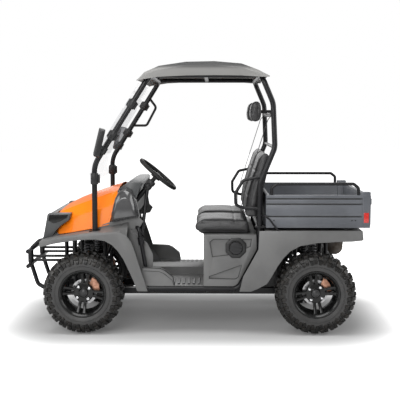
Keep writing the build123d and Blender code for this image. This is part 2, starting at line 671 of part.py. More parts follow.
def roof_panel():
    """Crowned roof shell with a turned-down rim, standing on six pads on the roof rails."""
    outer_faces = []
    inner_faces = []
    for x, crown, shoulder, edge, rim_z in ROOF_STATIONS:
        for faces, inset in ((outer_faces, 0.0), (inner_faces, SHEET)):
            half = roof_section(crown, shoulder, edge, rim_z - inset * 2, inset)
            floor_line = rim_z - inset * 2
            points = [(y, max(z, floor_line)) for y, z in half]
            mirrored = [(-y, z) for y, z in reversed(points[1:])]
            faces.append((x, outline(mirrored + points)))
    outer = ruled_loft(outer_faces)
    pads = [block((x - 18, x + 18), (ROOF_RAIL_Y - 15, ROOF_RAIL_Y + 15), (CAGE_TOP_Z + ROOF_RAIL_R + SEAT_GAP, 2000))
            for x in (240, -80, -400)]
    return outer - ruled_loft(inner_faces) + (both(Part() + pads) & outer)


# ---- cab -------------------------------------------------------------------
TOE_LINE = [(392, FLOOR_Z + SHEET), (430, 480), (520, 690), (539, 785)]
FIREWALL = [(548, 830), (552, 1018)]


def floor_pan():
    """Moulded floor with its centre tunnel, sloping toe board, side shields and step guards."""
    rear_x = SEAT_BOX_X[1] + SEAT_GAP
    half = SEAT_BOX_Y - 6
    inner = TUNNEL_HALF - SHEET
    channel = block((rear_x, 430), (-TUNNEL_HALF, TUNNEL_HALF), (FLOOR_Z, TUNNEL_Z))
    shield = side_prism(outline([(396, FLOOR_Z), (300, FLOOR_Z), (300, 560), (340, 640), (440, 720), (524, 784), (515, 690),
                                 (434, 480)]), 470 - SHEET, 470)
    guard = side_prism(outline([(372, FLOOR_Z), (372, 480), (244, 474), (209, 459), (152, 412), (140, FLOOR_Z)]),
                       half - 24, half)
    pan = Part() + [
        block((rear_x, TOE_LINE[0][0] + SHEET), (-half, half), (FLOOR_Z, FLOOR_Z + SHEET)),
        side_prism(band(TOE_LINE + FIREWALL, -SHEET), -440, 440),
        side_prism(band(TOE_LINE, -SHEET), 440, 470),
        side_prism(band(TOE_LINE, -SHEET), -470, -440),
        channel, shield, guard, mirror(shield, about=Plane.XZ), mirror(guard, about=Plane.XZ),
    ]
    pan -= block((rear_x - 1, 440), (-inner, inner), (FLOOR_Z - 1, TUNNEL_Z - SHEET))
    pan -= both(bar(DASH_TUBE[0], DASH_TUBE[1], DASH_TUBE_R + RUN_GAP))
    return pan - bar(on_column(330), RACK_END, COLUMN_R + RUN_GAP)


SEAT_WALL = 14.0
RECESS = 8.0                # depth of the pressed recesses
FILLER = (-295.0, 622.0)    # X and Z of the fuel filler on the left side
CAP_R = 44.0


def seat_box():
    """Hollow engine cover under the seats, with pressed recesses and the filler pocket."""
    low = FLOOR_Z + SEAT_GAP
    front, rear = SEAT_BOX_X[1], SEAT_BOX_X[0]
    profile = [(front, low), (front, SEAT_DECK_Z), (rear, SEAT_DECK_Z), (rear - 3, 650), (rear - 3, 612), (-311, 369),
               (-303, 360), (-290, 350), (-276, low)]
    wall_y = SEAT_BOX_Y - SEAT_WALL
    shell = side_prism(outline(profile), -SEAT_BOX_Y, SEAT_BOX_Y)
    shell -= side_prism(outline([(front - SHEET, low - 1), (front - SHEET, SEAT_DECK_Z - SHEET),
                                 (rear - 10, SEAT_DECK_Z - SHEET), (rear - 10, low - 1)]), -wall_y, wall_y)
    upper = [(-110, 664), (-138, 684), (-404, 684), (-396, 632), (-250, 572), (-128, 558)]
    lower = [(-106, 402), (-106, 416), (-336, 500), (-312, 412), (-290, 398)]
    for recess, radius in ((upper, 10), (lower, 5)):
        shell -= both(side_prism(outline(recess, radius), SEAT_BOX_Y - RECESS, SEAT_BOX_Y + 1))
    return shell - SIDE.offset(-(SEAT_BOX_Y - RECESS)) * Pos(*FILLER, -10) * Cylinder(CAP_R + 8, 20)




def fuel_cap():
    """Screw cap of the fuel filler, with grip flats."""
    place = SIDE.offset(-(SEAT_BOX_Y - RECESS + SEAT_GAP)) * Pos(*FILLER, 0)
    cap = place * Pos(0, 0, -13) * Cylinder(CAP_R, 26)
    flats = [place * Rot(0, 0, turn) * Pos(CAP_R + 3, 0, -17) * Cylinder(7, 26) for turn in range(0, 360, 30)]
    return cap - flats


def engine_block():
    """Engine and gearbox as one plain block on the rails."""
    return fillet(block((-620, -240), (-170, 170), (RAIL_Z[1] + SEAT_GAP, 660)).edges().filter_by(Axis.Z), 30)


SEAT_Y = (34.0, 516.0)


def seat_cushions():
    """Two seat cushions, plain closed solids."""
    deck = SEAT_DECK_Z + SEAT_GAP
    pad = side_prism(outline([(-48, deck), (6, deck + 36), (0, deck + 82), (-40, deck + CUSHION_T), (-300, deck + 96),
                              (-398, deck + 90), (-398, deck)]), *SEAT_Y)
    return both(pad)


def seat_backs():
    """Two seat backs, leaning rearwards."""
    hook_x = -566 + SEAT_BAR_R + SEAT_GAP
    bracket = side_prism(outline([(hook_x, SEAT_BAR_Z + 8), (hook_x, SEAT_BAR_Z - 8), (-538, 1275), (-505, 1285),
                                  (-520, SEAT_BAR_Z + 8)]), 255, 295)
    pad = side_prism(outline([(-352, 830), (-372, 990), (-470, 1285), (-500, 1302), (-532, 1292), (-541, 1262),
                              (-440, 830)]), *SEAT_Y)
    return both(pad + bracket)


def headrests():
    """Two headrests on brackets that hook over the rear hoop's upper cross bar."""
    pad = side_prism(outline([(-398, 1520), (-412, 1655), (-470, 1658), (-482, 1512)]), 190, 370)
    stem = block((-540.7, -476), (268, 292), (1572, 1596))
    stem += block((-560, -534), (268, 292), (1575.3, 1596))
    return both(pad + stem)


def hip_rails():
    """Bent side rails at the hips."""
    y = SILL_Y
    route = [(REAR_POST_X - 18, y, 1128), (-345, y, 1100), (-290, y, 1010), (-292, y, 925), (-350, y, 905),
             (REAR_POST_X, y, 898)]
    post = tube(REAR_ROUTE, CAGE_R + SEAT_GAP, REAR_BENDS)
    return both(tube(route, 11, 30) - post)


def seat_belts():
    """Shoulder webbing from the rear hoop down the front of each seat back."""
    strap = band([(-540.7, 1568), (-540.7, 1550), (-520, 1524), (-452, 1310), (-352, 992), (-334, 900), (-334, SEAT_DECK_Z + CUSHION_T + 6)], 2.5)
    return both(side_prism(strap, SEAT_Y[1] - 62, SEAT_Y[1] - 14))


def dashboard():
    """Dash moulding with its instrument hood, open below."""
    profile = [(545, 1030), (500, 1060), (470, 1076), (396, 1078), (384, 1062), (404, 1010), (436, 940), (420, 850)]
    face = band(profile, SHEET)
    dash = side_prism(face, -DASH_HALF, DASH_HALF)
    for y in (-DASH_HALF, DASH_HALF - SHEET):
        dash += side_prism(outline(profile), y, y + SHEET)
    hole = bar(on_column(60), on_column(340), 34)
    return dash - hole


def pedals():
    """Throttle and brake pedals hung in front of the toe board."""
    pivot_x, pivot_z = 478, 640
    parts = Part()
    for y, width in ((150, 50), (240, 80)):
        parts += [
            side_prism(band([(pivot_x - 6, pivot_z), (434, 560), (383, 462)], 8), y - 5, y + 5),
            side_prism(band([(398, 432), (376, 502)], 10), y - width / 2, y + width / 2),
            Pos(pivot_x, y, pivot_z) * Rot(90, 0, 0) * Cylinder(12, 30),
            side_prism(outline([(pivot_x, 628), (493, 628), (503.2, 652), (pivot_x, 652)]), y - 12, y + 12),
        ]
    return parts


# ---- outer panels ----------------------------------------------------------
HOOD_STATIONS = [
    # X, crown Z, shoulder Y, shoulder Z, foot Y, foot Z
    (1020, 846, 290, 826, 400, 726),
    (978, 880, 340, 858, 474, 706),
    (875, 932, 362, 900, 488, 722),
    (720, 992, 372, 958, 490, 750),
    (600, 1032, 366, 1000, 490, 780),
    (560, 1045, 356, 1014, 472, 860),
]


def hood_section(crown, shoulder_y, shoulder_z, foot_y, foot_z):
    """Outer line of the hood at one station, from the right foot to the left one."""
    half = [(0, crown), (shoulder_y * 0.55, crown - (crown - shoulder_z) * 0.3), (shoulder_y, shoulder_z),
            ((shoulder_y + foot_y) / 2 + 26, (shoulder_z + foot_z) / 2 + 20), (foot_y, foot_z)]
    return [(-y, z) for y, z in reversed(half[1:])] + half


SEAM = [(541, 1060), (616, 760)]        # X and Z where hood and cowl meet
SEAM_GAP = 0.5


def hood():
    """Painted hood, a shell one sheet thick, cut back where the cowls take over."""
    faces = [(x, band(hood_section(*sizes), -SHEET)) for x, *sizes in HOOD_STATIONS]
    (top_x, top_z), (low_x, low_z) = SEAM
    behind = side_prism(outline([(400, top_z), (top_x + SEAM_GAP, top_z), (low_x + SEAM_GAP, low_z), (400, low_z)]),
                        COWL_Y - SEAM_GAP, SIDE_FACE)
    return ruled_loft(faces) - both(behind)


FENDER_ARCH_FRONT = [(1092, 634), (994, 658), (875, 678), (804, 686), (699, 690), (628, 679), (579, 651), (537, 609),
                     (495, 545), (459, 468), (424, 390), (398, 318)]
FENDER_EDGE_FRONT = [(330, 318), (382, 482), (417, 595), (445, 672), (474, 707), (523, 737), (713, 736), (875, 713),
                     (994, 691), (1092, 668)]


def front_fenders():
    """Front fenders: outer arch plate, top skin up to the hood and the wheel-arch liner."""
    plate = side_prism(outline(FENDER_ARCH_FRONT + FENDER_EDGE_FRONT), SIDE_FACE - SHEET, SIDE_FACE)
    liner = side_prism(band(FENDER_ARCH_FRONT, -SHEET), 262, SIDE_FACE - 1)
    liner -= block((NOSE_REAR_X - SEAT_GAP, 1200), (200, NOSE_HALF + SEAT_GAP), (500, 800))
    skin_stations = [
        # X, inner Z, outer Z
        (1092, 672, 668), (994, 698, 691), (875, 719, 713), (713, 746, 736), (523, 784, 737), (474, 796, 707),
    ]
    faces = [(x, outline([(494, inner), (SIDE_FACE, outer), (SIDE_FACE, outer - SHEET), (494, inner - SHEET)]))
             for x, inner, outer in skin_stations]
    skin = ruled_loft(faces)
    hole = Pos(PILLAR_X, CAGE_Y, 740) * Box(80, 80, 60)
    return both(plate + liner + (skin - hole))


FENDER_ARCH_REAR = [(-398, 318), (-449, 341), (-512, 376), (-547, 433), (-582, 496), (-625, 559), (-674, 609),
                    (-744, 647), (-866, 668), (-1002, 676), (-1108, 679), (-1186, 686)]
FENDER_EDGE_REAR = [(-1180, 749), (-458, 749), (-452, 618), (-346, 424), (-320, 318)]


def rear_fenders():
    """Rear fenders: outer plate, top deck under the bed and the arch liner."""
    plate = side_prism(outline(FENDER_ARCH_REAR + FENDER_EDGE_REAR), SIDE_FACE - SHEET, SIDE_FACE)
    liner = side_prism(band(FENDER_ARCH_REAR, -SHEET), 320, SIDE_FACE - 1)
    deck = block((-1180, -500), (320, SIDE_FACE), (749 - SHEET, 749))
    fender = plate + liner + deck
    for x in (-1090, -660):
        fender += block((x - 20, x + 20), (BED_REST_Y + BED_REST_R + SEAT_GAP, 340), (BED_REST_Z - 12, 747))
    return both(fender)


def side_cowls():
    """Bulged gloss cowls behind the hood, one on each side of the dashboard."""
    stations = [
        # Y, outline in X and Z
        (COWL_Y, [(598, 790), (604, 870), (582, 962), (540, 1026), (484, 1046), (446, 1026), (412, 940), (392, 830)]),
        (520, [(590, 800), (594, 868), (574, 952), (536, 1010), (486, 1026), (450, 1008), (420, 932), (404, 834)]),
        (548, [(566, 826), (568, 872), (552, 930), (524, 968), (490, 976), (462, 962), (440, 908), (430, 848)]),
    ]
    faces = [(-y, outline(points)) for y, points in stations]
    ahead = side_prism(outline([SEAM[0], (700, SEAM[0][1]), (700, SEAM[1][1]), SEAM[1]]), COWL_Y - 1, SIDE_FACE)
    return both(ruled_loft(faces, SIDE) - ahead)


NOSE_REAR_X = 1024.0
NOSE_PROFILE = [(NOSE_REAR_X, 842), (1058, 844), (1094, 662), (1096, NOSE_FOOT_Z), (NOSE_REAR_X, NOSE_FOOT_Z)]
NOSE_HALF = 470.0
LAMP_Y = (273.0, 427.0)
LAMP_Z = (748.0, 812.0)


def nose_panel():
    """Front fascia, a hollow shell with the grille and headlamp openings cut."""
    shell = side_prism(outline(NOSE_PROFILE), -NOSE_HALF, NOSE_HALF)
    shell -= side_prism(outline([(1010, 838), (1054, 838), (1089, 664), (1090, NOSE_FOOT_Z + SHEET),
                                 (1010, NOSE_FOOT_Z + SHEET)]), -NOSE_HALF + SHEET, NOSE_HALF - SHEET)
    lamp_y = (LAMP_Y[0] - SEAT_GAP, LAMP_Y[1] + SEAT_GAP)
    openings = [both(block((1044, 1110), lamp_y, (LAMP_Z[0] - SEAT_GAP, LAMP_Z[1] + SEAT_GAP)))]
    openings += [block((1040, 1110), (-220, 220), (z, z + 20)) for z in (680, 714, 748, 782)]
    return shell - openings


def headlamps():
    """Two headlamps set in the nose."""
    low, high = LAMP_Z
    lamp = side_prism(outline([(1030, low), (1030, high), (1064, high), (1078, low)]), *LAMP_Y)
    return both(lamp)


def front_bumper():
    """Tube bumper with two upright pads, on stays from the frame's front posts."""
    y = 210
    stub = 170 + POST_R + SEAT_GAP
    upper_z = STAY_Z + 6
    loop = [(BUMPER_POST_X - 14, y, upper_z), (1170, y, upper_z), (1236, y, 560), (1236, y, 440), (1190, y, 290),
            (1100, y, 240)]
    side = Part() + tube(loop, 16, 50)
    side += bar((BUMPER_POST_X, stub, upper_z), (BUMPER_POST_X, y, upper_z), 12)
    for z in (504, 472):
        side += [bar((BUMPER_POST_X, y, z), (1236, y, z), 10),
                 bar((BUMPER_POST_X, stub, z), (BUMPER_POST_X, y + 6, z), 9)]
    side += block((1090, 1116), (RAIL_Y[1] + SEAT_GAP, 226), (226, 256))
    side += block((1040, 1100), (RAIL_Y[1] + SEAT_GAP, 206), (226, 256))
    side += side_prism(outline([(1232, 440), (1232, 570), (1252, 560), (FRONT_END, 540), (FRONT_END, 470), (1252, 446)]),
                       185, 235)
    bumper = both(side)
    for z in (556, 446):
        bumper += bar((1235, -340, z), (1235, 340, z), 15)
    return bumper


MIRROR_CLAMP_Z = 1312.0
MIRROR_T = 34.0
GLASS_T = 3.0


def mirror_place():
    """Location of the left mirror's head."""
    base_x = pillar_point(MIRROR_CLAMP_Z)
    return Pos(base_x + 14, CAGE_Y + 110, MIRROR_CLAMP_Z + 56) * Rot(0, -14, 0) * Rot(0, 0, 12)


def mirrors():
    """Two mirror heads on arms clamped to the A-pillars."""
    base_x = pillar_point(MIRROR_CLAMP_Z)
    place = Pos(base_x, CAGE_Y, MIRROR_CLAMP_Z) * Rot(0, -PILLAR_LEAN, 0)
    clamp = place * (Cylinder(26, 46) - Cylinder(CAGE_R + SEAT_GAP, 60))
    socket = (mirror_place() * Pos(7, -76, -44)).position
    arm = bar((base_x + 14, CAGE_Y + 27, MIRROR_CLAMP_Z), socket, 7)
    head = fillet(Box(MIRROR_T, 150, 196).edges().filter_by(Axis.X), 22)
    head -= Pos(-MIRROR_T / 2, 0, 0) * Box(2 * GLASS_T, 140, 186)
    return both(clamp + arm + mirror_place() * head)


def mirror_glass():
    """Mirror plates set in the rear faces of the heads."""
    plate = Box(GLASS_T - SEAT_GAP, 139, 185)
    return both(mirror_place() * Pos(-(MIRROR_T - GLASS_T - SEAT_GAP) / 2, 0, 0) * plate)


def grab_handle():
    """Passenger's grab handle on the right A-pillar."""
    y = -CAGE_Y
    handle = tube([(398, y, 1702), (340, y, 1625), (420, y, 1475), (543, y, 1475)], 10, 30)
    return handle - bar((PILLAR_X, y, PILLAR_BEND_Z), (FRONT_BAR_X, y, CAGE_TOP_Z), CAGE_R + SEAT_GAP)


# ---- cargo bed -------------------------------------------------------------
def cargo_bed():
    """Open bed: floor, two ribbed side walls, front wall, corner posts and hinge ears."""
    rear = BED_X[0] + 30
    half = BED_HALF
    shell = block((rear, BED_X[1]), (-half, half), (BED_FLOOR_Z - 18, BED_TOP_Z))
    shell -= block((rear - 1, BED_X[1] - BED_WALL), (-half + BED_WALL, half - BED_WALL), (BED_FLOOR_Z, BED_TOP_Z + 1))
    for low in BED_GROOVES_Z:
        shell -= both(block((BED_X[0] + 67, BED_X[1] + 1), (half - 5, half + 1), (low, low + 8)))
    post = block((BED_X[0], BED_X[0] + 67), (TAILGATE_HALF + MOVE_GAP, half), (BED_FLOOR_Z - 18, 1020))
    pin = bar((TAILGATE_PIVOT_X, TAILGATE_HALF - 20, TAILGATE_PIVOT_Z),
              (TAILGATE_PIVOT_X, TAILGATE_HALF + MOVE_GAP + 2, TAILGATE_PIVOT_Z), HINGE_PIN_R)
    shell += both(post + pin)
    ear_half = BED_EAR_HALF - RUN_GAP
    low_z = BED_FLOOR_Z - 17
    for y in (-BED_EAR_Y, BED_EAR_Y):
        ear = side_prism(outline([(BED_PIVOT_X - 12, BED_PIVOT_Z - 11), (BED_PIVOT_X + 12, BED_PIVOT_Z - 11),
                                  (BED_PIVOT_X + 30, low_z), (BED_PIVOT_X - 30, low_z)]), y - ear_half, y + ear_half)
        shell += ear - Pos(BED_PIVOT_X, y, BED_PIVOT_Z) * Rot(90, 0, 0) * Cylinder(HINGE_PIN_R + PIN_FIT, 60)
    for y in (-BED_REST_Y, BED_REST_Y):
        shell += block((-1080, BED_X[1] - 20), (y - 12, y + 12), (BED_REST_Z + BED_REST_R + SEAT_GAP, BED_FLOOR_Z - 17))
    return shell


def bed_rails():
    """Tube rails along both side walls."""
    y = BED_HALF - BED_WALL / 2
    route = [(-543, y, BED_TOP_Z), (-543, y, 1050), (-580, y, 1078), (-1115, y, 1078), (-1150, y, 1050),
             (-1150, y, BED_TOP_Z)]
    return both(tube(route, 11, 24))


def tail_lamps():
    """Red lamps on the outer faces of the rear corner posts."""
    return both(block((-1223, -1188), (BED_HALF, BED_HALF + 8), (806, 876)))


def tailgate():
    """Drop-down tailgate with a pressed panel, its hinge barrel and two latches."""
    gate = block((BED_X[0], BED_X[0] + TAILGATE_T), (-TAILGATE_HALF, TAILGATE_HALF), (BED_FLOOR_Z + MOVE_GAP, BED_TOP_Z))
    gate -= block((BED_X[0] - 1, BED_X[0] + 6), (-440, 440), (850, 960))
    gate -= both(bar((TAILGATE_PIVOT_X, TAILGATE_HALF - 21, TAILGATE_PIVOT_Z),
                     (TAILGATE_PIVOT_X, TAILGATE_HALF + 1, TAILGATE_PIVOT_Z), HINGE_PIN_R + PIN_FIT))
    gate += both(block((REAR_END, BED_X[0] + 2), (TAILGATE_HALF - 60, TAILGATE_HALF - 8), (926, 968)))
    return gate


# ---- rear end --------------------------------------------------------------
def muffler():
    """Silencer under the bed with its tail pipe."""
    x, y, z = MUFFLER_X, -40, 560
    can = Pos(x, y, z) * Rot(90, 0, 0) * Cylinder(60, 240)
    pipe = bar((x, y - 110, z), (x, y - 168, z), 22) + bar((x, y - 146, z), (x - 100, y - 146, z - 12), 18)
    hanger = block((x - 10, x + 10), (y - 12, y + 12), (z + 55, BED_REST_Z - CROSS_R + 2 - SEAT_GAP))
    return can + pipe + hanger


def hitch_receiver():
    """Square hitch tube, 50.8 mm inside, welded to a plate across the rails."""
    outer = 63.5
    inner = 50.8
    z = 280
    tube_out = block((-1210, -1140.3), (-outer / 2, outer / 2), (z - outer / 2, z + outer / 2))
    tube_in = block((-1211, -1146), (-inner / 2, inner / 2), (z - inner / 2, z + inner / 2))
    plate = block((-1148.3, -1140.3), (-188, 188), (z - 34, z + 34))
    pin = Pos(-1186, 0, z) * Rot(90, 0, 0) * Cylinder(8, 90)
    return tube_out + plate - tube_in - pin


def rear_uprights():
    """Rear hub carriers with their calipers."""
    return both(upright(REAR_AXLE, False))


def front_knuckle(side):
    """Steered front knuckle of one side."""
    knuckle = upright(FRONT_AXLE, True)
    return knuckle if side > 0 else mirror(knuckle, about=Plane.XZ)


# ==== output ================================================================
PIECES = {
    "main_frame": main_frame, "front_bulkhead": front_bulkhead, "rear_bulkhead": rear_bulkhead,
    "dash_frame": dash_frame, "skid_plate": skid_plate, "floor_pan": floor_pan, "seat_box": seat_box,
    "engine_block": engine_block, "axles": axles, "suspension_arms": suspension_arms,
    "shock_absorbers": shock_absorbers, "steering_gear": steering_gear, "tie_rods": tie_rods,
    "steering_wheel": steering_wheel, "front_hoop": front_hoop, "rear_hoop": rear_hoop, "roof_rails": roof_rails,
    "pillar_clamps": pillar_clamps, "windshield": windshield, "roof_panel": roof_panel, "mirrors": mirrors,
    "mirror_glass": mirror_glass, "grab_handle": grab_handle, "dashboard": dashboard, "pedals": pedals,
    "seat_cushions": seat_cushions, "seat_backs": seat_backs, "headrests": headrests, "hip_rails": hip_rails,
    "seat_belts": seat_belts, "fuel_cap": fuel_cap, "hood": hood, "side_cowls": side_cowls,
    "front_fenders": front_fenders, "rear_fenders": rear_fenders, "nose_panel": nose_panel, "headlamps": headlamps,
    "front_bumper": front_bumper, "cargo_bed": cargo_bed, "bed_rails": bed_rails, "tail_lamps": tail_lamps,
    "tailgate": tailgate, "muffler": muffler, "hitch_receiver": hitch_receiver, "rear_uprights": rear_uprights,
}


def save(name, shape):
    export_step(shape, f"parts/{name}.step")


def main():
    os.makedirs("parts", exist_ok=True)
    for name, make in PIECES.items():
        save(name, make())
    for side_name, side in (("left", 1), ("right", -1)):
        save(f"front_knuckle_{side_name}", front_knuckle(side))
    for name, axle_x, side in WHEELS:
        save(f"tyre_{name}", on_corner(tyre(), axle_x, side))
        save(f"rim_{name}", on_corner(rim(), axle_x, side))
        save(f"brake_disc_{name}", on_corner(brake_disc(), axle_x, side))


main()
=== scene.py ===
"""Looks of a two-seat side-by-side utility vehicle, laid out as a Blender add-on.

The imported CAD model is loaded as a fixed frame. Each operator below makes one piece
or one group of like pieces round it, and main() calls them in order. Metres, +X is
forward, +Y is the driver's left and +Z is up.
"""
import json
import math

import bpy
from mathutils import Matrix, Vector

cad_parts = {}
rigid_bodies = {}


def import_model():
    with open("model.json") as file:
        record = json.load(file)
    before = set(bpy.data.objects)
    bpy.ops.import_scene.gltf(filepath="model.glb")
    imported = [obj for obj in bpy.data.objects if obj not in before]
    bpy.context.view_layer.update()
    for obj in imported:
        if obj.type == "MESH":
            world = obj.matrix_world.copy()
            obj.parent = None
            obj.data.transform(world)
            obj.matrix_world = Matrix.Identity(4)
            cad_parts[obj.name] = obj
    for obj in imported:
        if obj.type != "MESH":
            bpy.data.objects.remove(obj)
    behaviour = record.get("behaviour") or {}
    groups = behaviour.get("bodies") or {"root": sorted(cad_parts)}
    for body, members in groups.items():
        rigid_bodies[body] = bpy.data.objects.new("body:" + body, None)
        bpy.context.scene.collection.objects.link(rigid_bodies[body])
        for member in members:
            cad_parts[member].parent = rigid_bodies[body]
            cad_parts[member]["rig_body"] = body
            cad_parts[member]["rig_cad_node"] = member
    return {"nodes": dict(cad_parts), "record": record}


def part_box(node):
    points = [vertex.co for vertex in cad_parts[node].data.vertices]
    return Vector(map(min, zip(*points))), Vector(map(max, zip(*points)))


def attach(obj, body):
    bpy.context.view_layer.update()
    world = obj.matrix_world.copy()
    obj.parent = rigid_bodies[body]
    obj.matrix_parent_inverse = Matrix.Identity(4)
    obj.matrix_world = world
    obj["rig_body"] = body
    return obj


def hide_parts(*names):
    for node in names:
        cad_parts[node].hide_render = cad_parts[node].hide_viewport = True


bl_info = {
    "name": "Side-by-side Utility Vehicle",
    "version": (1, 0, 0),
    "blender": (4, 5, 0),
    "location": "View3D > Sidebar > Vehicle",
    "description": "Models and finishes a two-seat utility vehicle round its CAD frame",
    "category": "Object",
}

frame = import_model()
NODES = frame["nodes"]
BODY_OF = {node: body for body, nodes in frame["record"]["behaviour"]["bodies"].items() for node in nodes}
SLOT_OF = {part["node"]: part["material_slot"] for part in frame["record"]["subparts"]}
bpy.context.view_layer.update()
CORNERS = ("front_left", "front_right", "rear_left", "rear_right")
SIDES = (("left", 1), ("right", -1))
AXLE_X = {"front": 0.795, "rear": -0.865}
WELD = 0.00005          # vertices nearer than this are one, in metres
NODE_WELD = 0.00002     # the same in a copy of a CAD node


# ---- working with objects ----------------------------------------------------
def select_only(*objects):
    """Leave only these objects selected, the first of them active."""
    if bpy.context.object and bpy.context.object.mode != "OBJECT":
        bpy.ops.object.mode_set(mode="OBJECT")
    bpy.ops.object.select_all(action="DESELECT")
    for obj in objects:
        obj.select_set(True)
    bpy.context.view_layer.objects.active = objects[0]


def added(name, data):
    """Object with this data, linked to the scene and selected alone."""
    obj = bpy.data.objects.new(name, data)
    bpy.context.scene.collection.objects.link(obj)
    select_only(obj)
    return obj


def new_mesh_object(name, vertices, faces=(), edges=()):
    """Object from points and faces."""
    mesh = bpy.data.meshes.new(name)
    mesh.from_pydata([tuple(v) for v in vertices], list(edges), [tuple(f) for f in faces])
    mesh.update()
    return added(name, mesh)


def edit(obj, *steps):
    """Run edit-mode steps on the whole mesh."""
    select_only(obj)
    bpy.ops.object.mode_set(mode="EDIT")
    bpy.ops.mesh.select_all(action="SELECT")
    for step in steps:
        step()
    bpy.ops.object.mode_set(mode="OBJECT")


def outward(obj):
    """Merge doubles and turn every face outwards."""
    edit(obj, lambda: bpy.ops.mesh.remove_doubles(threshold=WELD),
         lambda: bpy.ops.mesh.normals_make_consistent(inside=False))


def smooth(obj, angle=35.0):
    """Shade smooth across edges flatter than the angle, in degrees."""
    select_only(obj)
    bpy.ops.object.shade_smooth_by_angle(angle=math.radians(angle))


def modify(obj, kind, **settings):
    """Apply one modifier with these settings."""
    modifier = obj.modifiers.new("shape", kind)
    for name, value in settings.items():
        setattr(modifier, name, value)
    select_only(obj)
    bpy.ops.object.modifier_apply(modifier=modifier.name)


def soften(obj, width, segments=2, angle=30.0):
    """Round the edges that are sharper than the angle, in degrees."""
    modify(obj, "BEVEL", width=width, segments=segments, limit_method="ANGLE", angle_limit=math.radians(angle))


def joined(name, objects):
    """Objects joined into the first, which takes the name."""
    select_only(*objects)
    if len(objects) > 1:
        bpy.ops.object.join()
    result = bpy.context.object
    result.name = name
    result.data.name = name
    return result


def bake_place(obj):
    """Put the object's place into its mesh, so that it sits at the origin."""
    select_only(obj)
    bpy.ops.object.transform_apply(location=True, rotation=True, scale=True)


def copy_of(obj, name, matrix=None):
    """Copy with its own mesh, moved by a matrix."""
    twin = obj.copy()
    twin.data = obj.data.copy()
    twin.name = name
    twin.data.name = name
    bpy.context.scene.collection.objects.link(twin)
    if matrix is not None:
        twin.data.transform(matrix)
        if matrix.determinant() < 0:
            twin.data.flip_normals()
    return twin


def box_piece(name, low, high, bevel):
    """Box between two corners with rounded edges."""
    low, high = Vector(low), Vector(high)
    bpy.ops.object.select_all(action="DESELECT")
    bpy.ops.mesh.primitive_cube_add(size=1.0, location=(low + high) / 2)
    obj = bpy.context.object
    obj.scale = high - low
    obj.name = name
    bake_place(obj)
    soften(obj, bevel)
    return obj


def cylinder_piece(name, start, end, radius, sides, bevel):
    """Round bar between two points with rounded rims."""
    start, end = Vector(start), Vector(end)
    axis = end - start
    bpy.ops.object.select_all(action="DESELECT")
    bpy.ops.mesh.primitive_cylinder_add(vertices=sides, radius=radius, depth=axis.length)
    obj = bpy.context.object
    obj.rotation_mode = "QUATERNION"
    obj.rotation_quaternion = axis.to_track_quat("Z", "Y")
    obj.location = (start + end) / 2
    obj.name = name
    bake_place(obj)
    soften(obj, bevel)
    return obj


def lathe(name, profile, sides=96, centre=(0, 0, 0)):
    """Ring spun about a line along Y; the profile is (y, radius) pairs, closed into a loop."""
    centre = Vector(centre)
    points = [centre + Vector((0, y, r)) for y, r in profile]
    count = len(points)
    obj = new_mesh_object(name, points, edges=[(i, (i + 1) % count) for i in range(count)])
    edit(obj, lambda: bpy.ops.mesh.spin(steps=sides, angle=2 * math.pi, center=centre, axis=(0, 1, 0),
                                        use_auto_merge=True))
    outward(obj)
    return obj


def spline_tube(name, points, radius):
    """Round rod that follows points, as a mesh."""
    curve = bpy.data.curves.new(name, "CURVE")
    curve.dimensions = "3D"
    curve.bevel_depth = radius
    curve.bevel_resolution = 3
    curve.use_fill_caps = True
    spline = curve.splines.new("POLY")
    spline.points.add(len(points) - 1)
    for target, point in zip(spline.points, points):
        target.co = (*point, 1.0)
    added(name, curve)
    bpy.ops.object.convert(target="MESH")
    smooth(bpy.context.object, 50)
    return bpy.context.object


def bead_along(name, points, y, radius):
    """Round bead along an X-Z line, on the plane at a Y."""
    return spline_tube(name, [(x, y, z) for x, z in points], radius)


def ring_solid(name, rings):
    """Closed solid through rings of equally many points."""
    count, last = len(rings[0]), (len(rings) - 1) * len(rings[0])
    faces = [range(count), range(last + count - 1, last - 1, -1)]
    for start in range(0, last, count):
        for k in range(count):
            a, b = start + k, start + (k + 1) % count
            faces.append((a, a + count, b + count, b))
    obj = new_mesh_object(name, [point for ring in rings for point in ring], faces)
    outward(obj)
    return obj


def block_form(name, outline, low_y, high_y, radius):
    """Solid with an X-Z outline between two Y planes and well rounded edges."""
    obj = ring_solid(name, [[(x, y, z) for x, z in outline] for y in (low_y, high_y)])
    soften(obj, radius, 6, 20)
    return obj


def prism(name, outline, low_y, high_y, inset):
    """Solid with an X-Z outline between two Y planes; its ends are drawn in by the inset."""
    points = [Vector(point) for point in outline]
    middle = sum(points, Vector((0, 0))) / len(points)
    rings = []
    for share, draw in ((0.0, inset), (0.06, inset * 0.25), (0.5, 0.0), (0.94, inset * 0.25), (1.0, inset)):
        drawn = [point + (middle - point).normalized() * draw for point in points]
        rings.append([(x, low_y + (high_y - low_y) * share, z) for x, z in drawn])
    return ring_solid(name, rings)


def copy_of_node(node):
    """Merged copy of a CAD node's mesh, with its flat faces joined up."""
    obj = copy_of(NODES[node], f"{node}_finished")
    obj.parent = None
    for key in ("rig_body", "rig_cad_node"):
        if key in obj:
            del obj[key]
    obj.data.materials.clear()
    select_only(obj)
    if obj.data.has_custom_normals:
        bpy.ops.mesh.customdata_custom_splitnormals_clear()
    edit(obj, lambda: bpy.ops.mesh.remove_doubles(threshold=NODE_WELD),
         lambda: bpy.ops.mesh.dissolve_limited(angle_limit=math.radians(1.0)))
    return obj


def place(obj, body, slot, finish=None, nodes=()):
    """Give a piece its body and, if it has no material, its finish or its slot's own, and hide the nodes it stands
    for.
    """
    if not obj.data.materials:
        obj.data.materials.append(material_named(finish or slot))
    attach(obj, body)
    if nodes:
        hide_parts(*nodes)


